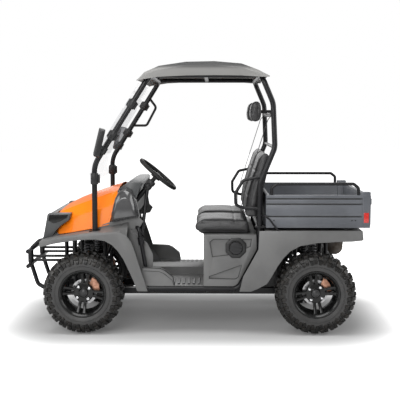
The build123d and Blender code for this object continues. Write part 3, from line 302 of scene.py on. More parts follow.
def finish_node(node, rounding, shading):
    """Stand-in for a CAD node with rounded edges, in its own slot's finish."""
    obj = copy_of_node(node)
    soften(obj, *rounding)
    smooth(obj, shading)
    place(obj, BODY_OF[node], SLOT_OF[node], nodes=[node])
    return {"FINISHED"}


# ---- shader nodes --------------------------------------------------------------
OUTPUT_KINDS = {"Colour": "NodeSocketColor", "Roughness": "NodeSocketFloat", "Normal": "NodeSocketVector"}


def feed(tree, value, socket):
    """Set a socket to a number or a colour, or link another socket to it."""
    if isinstance(value, (int, float, tuple)):
        socket.default_value = value
    else:
        tree.links.new(value, socket)


def shader_node(tree, kind, values=(), **settings):
    """Shader node with these settings; values and sockets are fed to its inputs by label or number."""
    node = tree.nodes.new(f"ShaderNode{kind}")
    for name, setting in settings.items():
        setattr(node, name, setting)
    for label, value in dict(values).items():
        feed(tree, value, node.inputs[label])
    return node


def coordinates(tree):
    """The object's own coordinates."""
    return shader_node(tree, "TexCoord").outputs["Object"]


def new_group(name, inputs, outputs):
    """Shader node group; returned with its input and output sockets and the object's coordinates."""
    group = bpy.data.node_groups.new(name, "ShaderNodeTree")
    for label, value in inputs.items():
        kind = OUTPUT_KINDS["Colour" if isinstance(value, tuple) else "Roughness"]
        group.interface.new_socket(name=label, in_out="INPUT", socket_type=kind).default_value = value
    for label in outputs:
        group.interface.new_socket(name=label, in_out="OUTPUT", socket_type=OUTPUT_KINDS[label])
    into, out = group.nodes.new("NodeGroupInput"), group.nodes.new("NodeGroupOutput")
    return group, into.outputs, out.inputs, coordinates(group)


def calc(tree, operation, *values):
    """Result of a math node fed by sockets or numbers."""
    return shader_node(tree, "Math", enumerate(values), operation=operation).outputs[0]


def components(tree, vector):
    """X, Y and Z sockets of a vector."""
    return shader_node(tree, "SeparateXYZ", {0: vector}).outputs


def mix_colour(tree, factor, a, b):
    """Mixed colour of two."""
    return shader_node(tree, "Mix", {0: factor, 6: a, 7: b}, data_type="RGBA").outputs[2]


def noise(tree, vector, scale, detail):
    """Noise texture's value at a scale per metre."""
    return shader_node(tree, "TexNoise", {
        "Detail": detail, "Roughness": 0.55, "Scale": scale, "Vector": vector}).outputs[0]


def ramp(tree, value, low, high):
    """Value stretched so that low reads 0 and high reads 1, with soft ends."""
    return shader_node(tree, "MapRange", {"From Min": low, "From Max": high, "Value": value},
                       interpolation_type="SMOOTHSTEP").outputs[0]


def bumped(tree, height, distance, strength):
    """Normal of a surface with this height on it."""
    return shader_node(tree, "Bump", {"Distance": distance, "Strength": strength, "Height": height}).outputs[0]


def surface_group():
    """Moulded or coated surface: mottled colour, uneven gloss, fine grain and settled dust."""
    group, into, out, where = new_group("Coated Surface", {
        "Colour": (0.1, 0.1, 0.1, 1), "Second Colour": (0.12, 0.12, 0.12, 1), "Mottle Scale": 6.0,
        "Roughness": 0.45, "Roughness Spread": 0.1, "Grain Scale": 900.0, "Grain Depth": 0.2, "Dust": 0.1,
        "Dust Colour": (0.35, 0.33, 0.3, 1)}, ("Colour", "Roughness", "Normal"))
    mottle = ramp(group, noise(group, where, into["Mottle Scale"], 4.0), 0.35, 0.65)
    coloured = mix_colour(group, mottle, into["Colour"], into["Second Colour"])
    upward = components(group, shader_node(group, "NewGeometry").outputs["Normal"])
    patches = ramp(group, noise(group, where, 28.0, 5.0), 0.42, 0.75)
    dust = calc(group, "MULTIPLY", calc(group, "MULTIPLY", ramp(group, upward["Z"], 0.2, 1.0), patches), into["Dust"])
    feed(group, mix_colour(group, dust, coloured, into["Dust Colour"]), out["Colour"])
    wobble = calc(group, "SUBTRACT", noise(group, where, 45.0, 4.0), 0.5)
    rough = calc(group, "ADD", into["Roughness"], calc(group, "MULTIPLY", wobble, into["Roughness Spread"]))
    feed(group, calc(group, "ADD", rough, calc(group, "MULTIPLY", dust, 0.4)), out["Roughness"])
    grain = noise(group, where, into["Grain Scale"], 2.0)
    feed(group, bumped(group, grain, 0.0004, into["Grain Depth"]), out["Normal"])
    return group


def weave_group():
    """Woven webbing: two crossed sets of threads."""
    group, into, out, where = new_group("Woven Webbing", {
        "Colour": (0.02, 0.02, 0.02, 1), "Thread Colour": (0.05, 0.05, 0.05, 1), "Thread Size": 700.0},
        ("Colour", "Normal"))
    across = components(group, where)
    waves = [calc(group, "SINE", calc(group, "MULTIPLY", across[axis], into["Thread Size"])) for axis in "YZ"]
    crossed = ramp(group, calc(group, "MULTIPLY", *waves), -1.0, 1.0)
    feed(group, mix_colour(group, crossed, into["Colour"], into["Thread Colour"]), out["Colour"])
    feed(group, bumped(group, crossed, 0.0006, 0.6), out["Normal"])
    return group


def hide_group():
    """Vinyl grain: small cells with creases between them."""
    group, into, out, where = new_group("Vinyl Grain", {
        "Colour": (0.02, 0.02, 0.02, 1), "Crease Colour": (0.01, 0.01, 0.01, 1), "Cell Scale": 420.0, "Depth": 0.35},
        ("Colour", "Roughness", "Normal"))
    cells = shader_node(group, "TexVoronoi", {"Vector": where, "Scale": into["Cell Scale"]},
                        feature="DISTANCE_TO_EDGE")
    raised = ramp(group, cells.outputs["Distance"], 0.0, 0.25)
    feed(group, mix_colour(group, raised, into["Crease Colour"], into["Colour"]), out["Colour"])
    worn = calc(group, "MULTIPLY", noise(group, where, 9.0, 4.0), 0.2)
    feed(group, calc(group, "ADD", worn, 0.28), out["Roughness"])
    feed(group, bumped(group, raised, 0.0005, into["Depth"]), out["Normal"])
    return group


# ---- materials -----------------------------------------------------------------
GROUPS = {}
MATERIALS = {}


def new_material(name, **sockets):
    """Material with a Principled shader, and plain values set on its own sockets."""
    material = bpy.data.materials.new(name)
    material.use_nodes = True
    shader = material.node_tree.nodes["Principled BSDF"]
    for label, value in sockets.items():
        shader.inputs[label.replace("_", " ")].default_value = value
    return material, shader


def grouped(name, maker, values, **sockets):
    """Material whose shader is fed by a node group, with plain values on its other sockets."""
    if maker not in GROUPS:
        GROUPS[maker] = maker()
    material, shader = new_material(name, **sockets)
    inputs = {label: (*value, 1) if isinstance(value, tuple) else value for label, value in values.items()}
    node = shader_node(material.node_tree, "Group", inputs, node_tree=GROUPS[maker])
    for label, target in (("Colour", "Base Color"), ("Roughness", "Roughness"), ("Normal", "Normal")):
        if label in node.outputs:
            feed(material.node_tree, node.outputs[label], shader.inputs[target])
    return material


def coated(name, colour, second=None, rough=0.45, spread=0.12, mottle=6.0, grain=900.0, depth=0.15, dust=0.12,
           dust_colour=(0.35, 0.33, 0.3), **sockets):
    """Material of a moulded, painted or coated surface."""
    second = second or tuple(min(1.0, c * 1.25 + 0.002) for c in colour)
    return grouped(name, surface_group, {
        "Colour": colour, "Second Colour": second, "Mottle Scale": mottle, "Roughness": rough,
        "Roughness Spread": spread, "Grain Scale": grain, "Grain Depth": depth, "Dust": dust,
        "Dust Colour": dust_colour}, **sockets)


def painted_light_band(material, lean, low, high, share, painted_tone):
    """Mix a painted light tone into a coated material: none where Z plus lean times X is low, up to the share where
    it is high.
    """
    tree = material.node_tree
    socket = tree.nodes["Principled BSDF"].inputs["Base Color"]
    where = components(tree, coordinates(tree))
    height = calc(tree, "ADD", where["Z"], calc(tree, "MULTIPLY", where["X"], lean))
    factor = calc(tree, "MULTIPLY", ramp(tree, height, low, high), share)
    feed(tree, mix_colour(tree, factor, socket.links[0].from_socket, painted_tone), socket)
    return material


def clear_sheet():
    """Clear polycarbonate sheet with a pale tint and faint wiping marks."""
    material, shader = new_material("Clear Sheet", Alpha=0.16, Base_Color=(0.42, 0.43, 0.50, 1))
    tree = material.node_tree
    marks = calc(tree, "MULTIPLY", ramp(tree, noise(tree, coordinates(tree), 14.0, 6.0), 0.5, 0.8), 0.12)
    feed(tree, calc(tree, "ADD", marks, 0.06), shader.inputs["Roughness"])
    return material


def looks():
    """The vehicle's colours, as the panel shows them."""
    return bpy.context.scene.vehicle_looks


def material_named(slot):
    """Material of a record slot or a finish, made the first time that it is asked for."""
    if slot not in MATERIALS:
        MATERIALS[slot] = MATERIAL_MAKERS[slot]()
    return MATERIALS[slot]


MATERIAL_MAKERS = {
    "frame_black": lambda: coated("Black Powder Coat", (0.007, 0.007, 0.008), rough=0.3, depth=0.25, grain=700.0,
                                  dust=0.05, Specular_IOR_Level=0.3),
    "skid": lambda: coated("Skid Plate Coat", (0.03, 0.03, 0.031), rough=0.5, dust=0.3),
    "body_plastic": lambda: coated("Grained Body Plastic", tuple(looks().plastic_colour), rough=0.42, spread=0.16,
                                   grain=1400.0, depth=0.35, mottle=3.0, dust=0.1),
    # Roof side below the crown painted pale grey: a painted reflection; the top stays dark.
    "roof": lambda: painted_light_band(coated(
        "Roof Plastic", (0.03, 0.03, 0.03), rough=0.5, mottle=2.0, grain=1100.0, depth=0.25, dust=0.0,
        Specular_IOR_Level=0.2), 0.0, 1.908, 1.872, 1.0, (0.19, 0.188, 0.182, 1)),
    "engine": lambda: coated("Cast Alloy", (0.09, 0.09, 0.09), rough=0.6, depth=0.6, grain=350.0, Metallic=0.6),
    "shock": lambda: coated("Shock Body", (0.02, 0.02, 0.021), rough=0.3, Metallic=0.4),
    "spring": lambda: coated("Spring Coat", (0.11, 0.11, 0.115), rough=0.28),
    "steel": lambda: coated("Brushed Steel", (0.5, 0.5, 0.5), (0.36, 0.36, 0.37), rough=0.33, spread=0.3,
                            mottle=60.0, grain=1600.0, depth=0.2, dust=0.0, Metallic=1.0),
    "lug_steel": lambda: coated("Plated Nuts", (0.78, 0.79, 0.8), (0.6, 0.6, 0.62), rough=0.2, mottle=80.0,
                                dust=0.0, Metallic=1.0),
    "grip": lambda: coated("Grip Rubber", (0.008, 0.008, 0.008), rough=0.5, depth=0.7, grain=600.0, dust=0.05,
                           Specular_IOR_Level=0.3),
    "trim": lambda: coated("Satin Black Trim", (0.014, 0.014, 0.015), rough=0.4, depth=0.3, dust=0.05,
                           Specular_IOR_Level=0.35),
    # Hood's top towards the front painted redder, up to 35 percent: a painted highlight tone.
    "hood_orange": lambda: painted_light_band(coated(
        "Orange Gloss", tuple(looks().hood_colour), tuple(c * 0.9 for c in looks().hood_colour), rough=0.3,
        spread=0.05, mottle=3.0, depth=0.03, dust=0.0, Coat_Weight=0.15, Coat_Roughness=0.06,
        Specular_IOR_Level=0.15), 0.33, 1.17, 1.25, 0.35, (0.78, 0.1, 0.04, 1)),
    "pod_plastic": lambda: coated("Dark Lamp Pod", (0.045, 0.047, 0.048), rough=0.36, grain=1400.0, depth=0.3,
                                  dust=0.06),
    # Near black for the beads of painted shade along recess, groove and filler pocket edges.
    "painted_shade_black": lambda: coated("Painted Edge Shade", (0.008, 0.008, 0.008), rough=0.5, dust=0.0),
    "cowl_gloss": lambda: coated("Gloss Cowl", (0.045, 0.045, 0.046), rough=0.14, spread=0.05, depth=0.04, dust=0.04,
                                 Coat_Weight=0.6, Coat_Roughness=0.06),
    "bed_plastic": lambda: coated("Blue-grey Bed Plastic", tuple(looks().bed_colour), rough=0.4, spread=0.15,
                                  grain=1300.0, depth=0.3, mottle=4.0, dust=0.1),
    "muffler_steel": lambda: coated("Heat-tinted Steel", (0.12, 0.11, 0.1), (0.07, 0.055, 0.045), rough=0.45,
                                    spread=0.3, mottle=14.0, Metallic=1.0),
    "caliper_gold": lambda: coated("Copper Caliper Paint", (0.62, 0.33, 0.22), (0.4, 0.19, 0.12), rough=0.35,
                                   mottle=45.0, Metallic=0.4),
    "tyre": lambda: coated("Tread Rubber", (0.006, 0.006, 0.006), (0.016, 0.014, 0.012), rough=0.34, spread=0.3,
                           mottle=26.0, grain=500.0, depth=0.3, dust=0.16, dust_colour=(0.12, 0.085, 0.06),
                           Specular_IOR_Level=0.35),
    # Sidewall: the tread's rubber made lighter, a painted sheen.
    "tyre_wall_painted_sheen": lambda: coated("Sidewall Rubber", (0.030, 0.030, 0.030), (0.042, 0.041, 0.040), rough=0.42,
                                spread=0.2, mottle=12.0, grain=700.0, depth=0.25, dust=0.1),
    "rim_black": lambda: coated("Gloss Black Alloy", (0.005, 0.005, 0.005), rough=0.2, spread=0.08, depth=0.05,
                                dust=0.0, Coat_Weight=0.15, Specular_IOR_Level=0.3),
    "cap_grey": lambda: coated("Dark Wheel Cap", (0.035, 0.035, 0.036), rough=0.3, Metallic=0.3),
    "lamp_red": lambda: coated("Red Lens", (0.62, 0.03, 0.02), (0.45, 0.015, 0.012), rough=0.15, mottle=150.0,
                               depth=0.3, grain=260.0, dust=0.0, Coat_Weight=0.5),
    "lamp_clear": lambda: coated("Lamp Lens", (0.75, 0.77, 0.8), (0.5, 0.52, 0.55), rough=0.08, mottle=90.0,
                                 depth=0.4, grain=220.0, dust=0.0, Metallic=0.5, Coat_Weight=1.0),
    "mirror_glass": lambda: coated("Mirror", (0.82, 0.83, 0.85), (0.8, 0.81, 0.83), rough=0.03, spread=0.01,
                                   depth=0.0, dust=0.0, Metallic=1.0),
    "seat_vinyl": lambda: grouped("Seat Vinyl", hide_group, {
        "Colour": (0.040, 0.039, 0.041), "Crease Colour": (0.014, 0.014, 0.014)}),
    "webbing": lambda: grouped("Belt Webbing", weave_group, {
        "Colour": (0.012, 0.012, 0.012), "Thread Colour": (0.035, 0.035, 0.036)}, Roughness=0.8),
    "clear_sheet": clear_sheet,
}


# ---- settings --------------------------------------------------------------------
def colour_of(name, description, default):
    """Colour property for the panel."""
    return bpy.props.FloatVectorProperty(
        name=name, description=description, subtype="COLOR", size=3, min=0, max=1, default=default)


class VehicleLooks(bpy.types.PropertyGroup):
    """Colours of the vehicle."""
    hood_colour: colour_of("Hood", "Colour of the painted hood", (0.90, 0.20, 0.004))
    plastic_colour: colour_of("Body plastic", "Colour of fenders, seat base and floor", (0.106, 0.106, 0.105))
    bed_colour: colour_of("Cargo bed", "Colour of the bed's panels", (0.082, 0.087, 0.098))


class VehicleSizes(bpy.types.PropertyGroup):
    """Sizes of the modelled detail."""
    tread_depth: bpy.props.FloatProperty(
        name="Tread depth", description="Height of the tyre lugs", unit="LENGTH", default=0.020, min=0.005)
    tread_pitches: bpy.props.IntProperty(
        name="Tread pitches", description="How often the tread pattern repeats round a tyre", default=24, min=12)
    cushion_swell: bpy.props.FloatProperty(
        name="Cushion swell", description="Furthest that a seat's cover may move when it is filled", unit="LENGTH",
        default=0.008, min=0.0)


# ---- tyres and rims ----------------------------------------------------------------
# Outer line of the tyre as (y, radius) pairs, from the crown to the bead.
CARCASS = [(0.0, 0.271), (0.055, 0.269), (0.085, 0.263), (0.099, 0.251), (0.105, 0.234), (0.1075, 0.215),
           (0.106, 0.197), (0.1015, 0.181), (0.0985, 0.1715), (0.0905, 0.1665), (0.086, 0.158), (0.085, 0.1525)]


def carcass_at(distance):
    """Point and outward normal on the tyre's outer line, a distance from the crown; negative is inboard."""
    side = -1 if distance < 0 else 1
    left = abs(distance)
    for (y0, r0), (y1, r1) in zip(CARCASS, CARCASS[1:]):
        length = math.hypot(y1 - y0, r1 - r0)
        if left <= length:
            share = left / length
            normal = ((r0 - r1) / length, (y1 - y0) / length)
            return side * (y0 + (y1 - y0) * share), r0 + (r1 - r0) * share, side * normal[0], normal[1]
        left -= length
    y, r = CARCASS[-1]
    return side * y, r, side * 1.0, 0.0


def tread_lug(stations, height, taper=0.0035):
    """Points and faces of one lug; each station is a distance from the crown, an angle and a half width."""
    last = len(stations) - 1
    lean = math.copysign(taper, stations[-1][0] - stations[0][0])
    points = []
    for index, (distance, angle, half) in enumerate(stations):
        y, r, ny, nr = carcass_at(distance)
        top = carcass_at(distance + {0: lean, last: -lean}.get(index, 0.0))
        ty, tr = top[0] + ny * height, top[1] + nr * height
        for radius, across, spread in ((r - nr * 0.003, y - ny * 0.003, half + taper), (tr, ty, half)):
            for side in (-1, 1):
                turn = angle + side * spread / radius
                points.append((math.sin(turn) * radius, across, math.cos(turn) * radius))
    faces = []
    for a in range(0, last * 4, 4):
        b = a + 4
        faces += [(a + 2, a + 3, b + 3, b + 2), (a, a + 2, b + 2, b), (a + 1, b + 1, b + 3, a + 3),
                  (a, b, b + 1, a + 1)]
    end = last * 4
    return points, faces + [(0, 1, 3, 2), (end, end + 2, end + 3, end + 1)]


def lug_pattern(pitch):
    """Stations of the lugs in one pitch of the tread, which spans an angle, and their shares of its depth."""
    centre = [(-0.024, -0.10 * pitch, 0.010), (0.0, 0.0, 0.0115), (0.024, 0.10 * pitch, 0.010)]
    middle = [(0.034, 0.34 * pitch, 0.0095), (0.052, 0.42 * pitch, 0.012), (0.070, 0.5 * pitch, 0.0125)]
    shoulder = [(0.076, 0.08 * pitch, 0.0125), (0.096, 0.04 * pitch, 0.014), (0.113, 0.0, 0.0135)]
    flank = [(0.100, 0.52 * pitch, 0.0085), (0.118, 0.52 * pitch, 0.009), (0.136, 0.56 * pitch, 0.007)]
    flare = [(0.108, -0.01 * pitch, 0.0125), (0.124, -0.02 * pitch, 0.010), (0.142, -0.03 * pitch, 0.006)]
    lugs = [(centre, 1.0)]
    for stations, share in ((middle, 0.95), (shoulder, 0.95), (flank, 0.5), (flare, 0.5)):
        lugs += [(stations, share), ([(-d, a + 0.5 * pitch, h) for d, a, h in stations], share)]
    return lugs


def build_tyre(name):
    """Tyre about the Y axis at the origin: carcass with sidewall ribs, and a knobbly tread."""
    ribs = [(0.1045, 0.1995), (0.1085, 0.1985), (0.1085, 0.1955), (0.1045, 0.1945)]
    outer = [p for p in CARCASS if p[1] > 0.2] + ribs + [p for p in CARCASS if p[1] < 0.194]
    inner = [(-y, r) for y, r in reversed(outer[1:])]
    hollow = [(0.078, 0.1525), (0.092, 0.2), (0.08, 0.25), (0.0, 0.258), (-0.08, 0.25), (-0.092, 0.2),
              (-0.078, 0.1525)]
    carcass = lathe(name, inner + outer + hollow)
    smooth(carcass, 40)
    sizes = bpy.context.scene.vehicle_sizes
    pitch = 2 * math.pi / sizes.tread_pitches
    points, faces = [], []
    for stations, share in lug_pattern(pitch):
        lug_points, lug_faces = tread_lug(stations, sizes.tread_depth * share)
        faces += [[i + len(points) for i in face] for face in lug_faces]
        points += lug_points
    pattern = new_mesh_object("tread_pitch", points, faces)
    outward(pattern)
    soften(pattern, 0.0016, 1, 40)
    # Carcass faces take the lighter sidewall rubber, a painted sheen; lug faces take the tread rubber.
    for part, index in ((carcass, 0), (pattern, 1)):
        for finish in ("tyre_wall_painted_sheen", "tyre"):
            part.data.materials.append(material_named(finish))
        for face in part.data.polygons:
            face.material_index = index
    turns = [copy_of(pattern, f"tread_{i}", Matrix.Rotation(i * pitch, 4, "Y")) for i in range(sizes.tread_pitches)]
    bpy.data.objects.remove(pattern)
    return joined(name, [carcass] + turns)


def build_spoke_pair():
    """One pair of spokes from the hub to the barrel, at the top of the wheel."""
    bars = []
    for side in (-1, 1):
        angle = math.radians(10.5) * side
        inner = Vector((math.sin(angle) * 0.060 + side * 0.004, 0, math.cos(angle) * 0.052))
        outer = Vector((math.sin(angle) * 0.150 - side * 0.004, 0, math.cos(angle) * 0.150))
        across = Vector(((outer - inner).z, 0, -(outer - inner).x)).normalized()
        sections = []
        for share, half, front, back in ((0.0, 0.0140, 0.040, 0.024), (0.35, 0.0120, 0.043, 0.026),
                                         (0.8, 0.0125, 0.056, 0.036), (1.0, 0.017, 0.066, 0.042)):
            sections.append([inner.lerp(outer, share) + across * offset + Vector((0, y, 0)) for offset, y in (
                (-half, back), (-half * 0.75, front), (half * 0.75, front), (half, back))])
        bar = ring_solid("spoke", sections)
        soften(bar, 0.0022)
        bars.append(bar)
    return joined("spoke_pair", bars)


def build_rim(name):
    """Alloy wheel about the Y axis at the origin: barrel, lip, hub and four pairs of spokes."""
    barrel = lathe(name, [
        (-0.0990, 0.1675), (-0.0925, 0.1675), (-0.0905, 0.1512), (-0.060, 0.1512), (-0.045, 0.143), (0.040, 0.143),
        (0.058, 0.1512), (0.0905, 0.1512), (0.0925, 0.1675), (0.0990, 0.1675), (0.0995, 0.1610), (0.0935, 0.1560),
        (0.084, 0.1455), (0.060, 0.1440), (0.042, 0.1365), (-0.045, 0.1365), (-0.060, 0.1440), (-0.084, 0.1450),
        (-0.0935, 0.1560), (-0.0995, 0.1610)])
    soften(barrel, 0.0010, 1, 40)
    hub = lathe("hub", [(0.026, 0.022), (0.026, 0.070), (0.036, 0.072), (0.041, 0.066), (0.041, 0.034),
                        (0.046, 0.030), (0.046, 0.022)], 64)
    soften(hub, 0.0015)
    pair = build_spoke_pair()
    spokes = [copy_of(pair, f"spokes_{i}", Matrix.Rotation(i * math.pi / 2, 4, "Y")) for i in range(4)]
    bpy.data.objects.remove(pair)
    wheel = joined(name, [barrel, hub] + spokes)
    smooth(wheel, 32)
    return wheel


def build_nuts(name):
    """Four lug nuts on the bolt circle, about the Y axis."""
    nuts = []
    for i in range(4):
        turn = math.radians(45 + 90 * i)
        x, z = math.sin(turn) * 0.055, math.cos(turn) * 0.055
        nuts += [cylinder_piece("nut", (x, 0.040, z), (x, 0.058, z), 0.0105, 6, 0.0012),
                 cylinder_piece("tip", (x, 0.057, z), (x, 0.062, z), 0.0070, 20, 0.0012)]
    nuts = joined(name, nuts)
    smooth(nuts, 30)
    return nuts


def build_cap(name):
    """Domed centre cap with a step ring."""
    cap = lathe(name, [(0.040, 0.0004), (0.040, 0.0285), (0.050, 0.0285), (0.0535, 0.0262), (0.0535, 0.0225),
                       (0.0515, 0.0215), (0.0550, 0.0150), (0.0570, 0.0004)], 48)
    smooth(cap, 35)
    return cap


def wheel_place(corner):
    """Matrix that puts a wheel made at the origin, outer side +Y, at its corner."""
    low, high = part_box(f"tyre_{corner}")
    turn = {"front_left": -7, "front_right": 11, "rear_left": 9, "rear_right": -15}[corner]
    mirror = Matrix.Scale(-1 if corner.endswith("right") else 1, 4, (0, 1, 0))
    return Matrix.Translation((low + high) / 2) @ mirror @ Matrix.Rotation(math.radians(turn), 4, "Y")


# ---- soft pieces -----------------------------------------------------------------
# Cloth settings that fill a cushion, and the number of frames it gets.
FILLING = {"use_pressure": True, "uniform_pressure_force": 4.0, "quality": 4, "tension_stiffness": 12.0,
           "compression_stiffness": 12.0}
FILLING_FRAMES = 14


def inflate(obj, voxel, cap):
    """Fill a closed shape like a cushion with a cloth simulation; no point moves further than the cap."""
    modify(obj, "REMESH", mode="VOXEL", voxel_size=voxel)
    before = [v.co.copy() for v in obj.data.vertices]
    cloth = obj.modifiers.new("fill", "CLOTH")
    cloth.settings.effector_weights.gravity = 0.0
    for setting, value in FILLING.items():
        setattr(cloth.settings, setting, value)
    scene = bpy.context.scene
    for step in range(1, FILLING_FRAMES + 1):
        scene.frame_set(step)
    bpy.ops.object.modifier_apply(modifier=cloth.name)
    for vertex, start in zip(obj.data.vertices, before):
        move = vertex.co - start
        if move.length > cap:
            vertex.co = start + move * (cap / move.length)
    scene.frame_set(1)


def press_seams(obj, distances, depth, width):
    """Pull the cover in along seams; each is a function that gives a point's distance from it."""
    normals = [v.normal.copy() for v in obj.data.vertices]
    for vertex, normal in zip(obj.data.vertices, normals):
        for measure in distances:
            away = measure(vertex.co, normal)
            if away < width * 3:
                vertex.co -= normal * depth * math.exp(-(away / width) ** 2)


# ---- operators -------------------------------------------------------------------
SOFTBOXES = {
    # name: (place, side of its square in metres, watts)
    "top_softbox": ((0.3, 0.8, 5.2), 4.0, 250.0), "near_softbox": ((1.5, 5.0, 3.0), 3.0, 135.0),
    "front_softbox": ((5.0, 1.2, 2.6), 3.0, 95.0), "rear_softbox": ((-5.0, 1.0, 2.6), 3.0, 85.0),
    "far_softbox": ((0.0, -5.0, 3.0), 4.0, 60.0),
}
LAMP_TARGET = Vector((0, 0, 0.7))


class VEHICLE_OT_stage(bpy.types.Operator):
    """Pale floor with a painted shadow pool round the vehicle, white surroundings, soft lamps and the side-on camera
    """
    bl_idname = "vehicle.stage"
    bl_label = "Stage"

    def execute(self, context):
        scene = context.scene
        scene.view_settings.view_transform = "Standard"
        bpy.ops.object.select_all(action="DESELECT")
        bpy.ops.mesh.primitive_plane_add(size=60, location=(0, 0, 0))
        floor = context.object
        floor.name = "floor"
        floor.data.materials.append(self.floor_material())
        self.light_world(scene)
        for name, (location, size, power) in SOFTBOXES.items():
            lamp = bpy.data.lights.new(name, "AREA")
            lamp.shape = "SQUARE"
            lamp.size = size
            lamp.energy = power
            holder = added(name, lamp)
            holder.location = location
            holder.rotation_euler = (LAMP_TARGET - Vector(location)).to_track_quat("-Z", "Y").to_euler()
        camera = bpy.data.cameras.new("side_view")
        camera.lens = 75.24
        camera.sensor_width = 36.0
        scene.camera = added("side_view", camera)
        scene.camera.location = (-0.1396, 6.419, 1.5377)
        scene.camera.rotation_euler = (math.radians(84.392), 0, math.radians(180.969))
        return {"FINISHED"}

    @staticmethod
    def seen_directly(tree):
        """1 for camera and transmission rays; returned with the sockets of the other kinds of ray."""
        rays = shader_node(tree, "LightPath").outputs
        return calc(tree, "MAXIMUM", rays["Is Camera Ray"], rays["Is Transmission Ray"]), rays

    def floor_material(self):
        """White floor that keeps the vehicle's shadow and adds a painted shadow pool round it; it shines where it is
        clear of the vehicle.
        """
        material, shader = new_material("Pale Floor", Roughness=0.9, Specular_IOR_Level=0.1)
        tree = material.node_tree
        seen, rays = self.seen_directly(tree)
        where = components(tree, coordinates(tree))
        beside = [calc(tree, "MAXIMUM", calc(tree, "SUBTRACT", calc(tree, "ABSOLUTE", where[axis]), reach), 0.0)
                  for axis, reach in (("X", 0.85), ("Y", 0.35))]
        away = calc(tree, "SQRT", calc(tree, "ADD", *[calc(tree, "MULTIPLY", d, d) for d in beside]))
        # Painted shadow pool: near the vehicle the floor's colour drops to 0.42 and its glow to 0.08, rising to 0.92
        # and full glow away from it.
        clear_of_shadow_pool = ramp(tree, away, 0.30, 1.05)
        shadow_pool_tones = [(tone, tone, tone, 1) for tone in (0.42, 0.92)]
        feed(tree, mix_colour(tree, clear_of_shadow_pool, *shadow_pool_tones), shader.inputs["Base Color"])
        shine = calc(tree, "ADD", calc(tree, "MULTIPLY", clear_of_shadow_pool, 0.92), 0.08)
        glow = shader_node(tree, "Emission", {"Color": (1, 1, 1, 1), "Strength": calc(tree, "MULTIPLY", seen, shine)})
        both = shader_node(tree, "AddShader", {0: shader.outputs[0], 1: glow.outputs[0]})
        feed(tree, both.outputs[0], tree.nodes["Material Output"].inputs["Surface"])
        return material

    def light_world(self, scene):
        """White surroundings to the camera, a softer grey to everything else."""
        scene.world = bpy.data.worlds.new("studio")
        scene.world.use_nodes = True
        tree = scene.world.node_tree
        background = tree.nodes["Background"]
        seen, rays = self.seen_directly(tree)
        glossy = calc(tree, "MULTIPLY", rays["Is Glossy Ray"], 0.4)
        strength = calc(tree, "MAXIMUM", calc(tree, "MAXIMUM", seen, glossy), 0.3)
        feed(tree, (1, 1, 1, 1), background.inputs["Color"])
        feed(tree, strength, background.inputs["Strength"])


TOE_BOARD = [(0.392, 0.346), (0.430, 0.480), (0.520, 0.690), (0.539, 0.786)]    # X and Z along its rear face
SHARP_PANELS = {
    # node: (edge radius in metres, shading angle in degrees)
    "main_frame": (0.0, 40), "front_bulkhead": (0.0, 40), "rear_bulkhead": (0.0, 40), "dash_frame": (0.0, 40),
    "skid_plate": (0.0, 30), "floor_pan": (0.004, 30), "seat_box": (0.006, 30),
    "engine_block": (0.008, 30), "axles": (0.0, 30), "suspension_arms": (0.0, 40), "shock_absorbers": (0.0, 40),
    "steering_gear": (0.0, 40), "tie_rods": (0.0, 40), "front_hoop": (0.0, 40), "rear_hoop": (0.0, 40),
    "roof_rails": (0.0, 40), "pillar_clamps": (0.002, 30), "windshield": (0.0, 30), "mirrors": (0.006, 30),
    "grab_handle": (0.0, 40), "dashboard": (0.006, 30), "pedals": (0.0015, 30), "hip_rails": (0.0, 40),
    "fuel_cap": (0.003, 30), "side_cowls": (0.014, 40), "front_fenders": (0.0018, 40), "rear_fenders": (0.0018, 40),
    "nose_panel": (0.0018, 30), "headlamps": (0.003, 30), "front_bumper": (0.0, 40), "cargo_bed": (0.003, 30),
    "bed_rails": (0.0, 40), "tail_lamps": (0.002, 30), "tailgate": (0.003, 30), "muffler": (0.003, 30),
    "hitch_receiver": (0.001, 30), "rear_uprights": (0.002, 30), "front_knuckle_left": (0.002, 30),
    "front_knuckle_right": (0.002, 30), "mirror_glass": (0.0, 30), "steering_wheel": (0.002, 40),
}
CALIPER = ((-0.113, -0.039), 0.303, 0.4695)     # X from the axle, lowest Z and least Y of a brake caliper


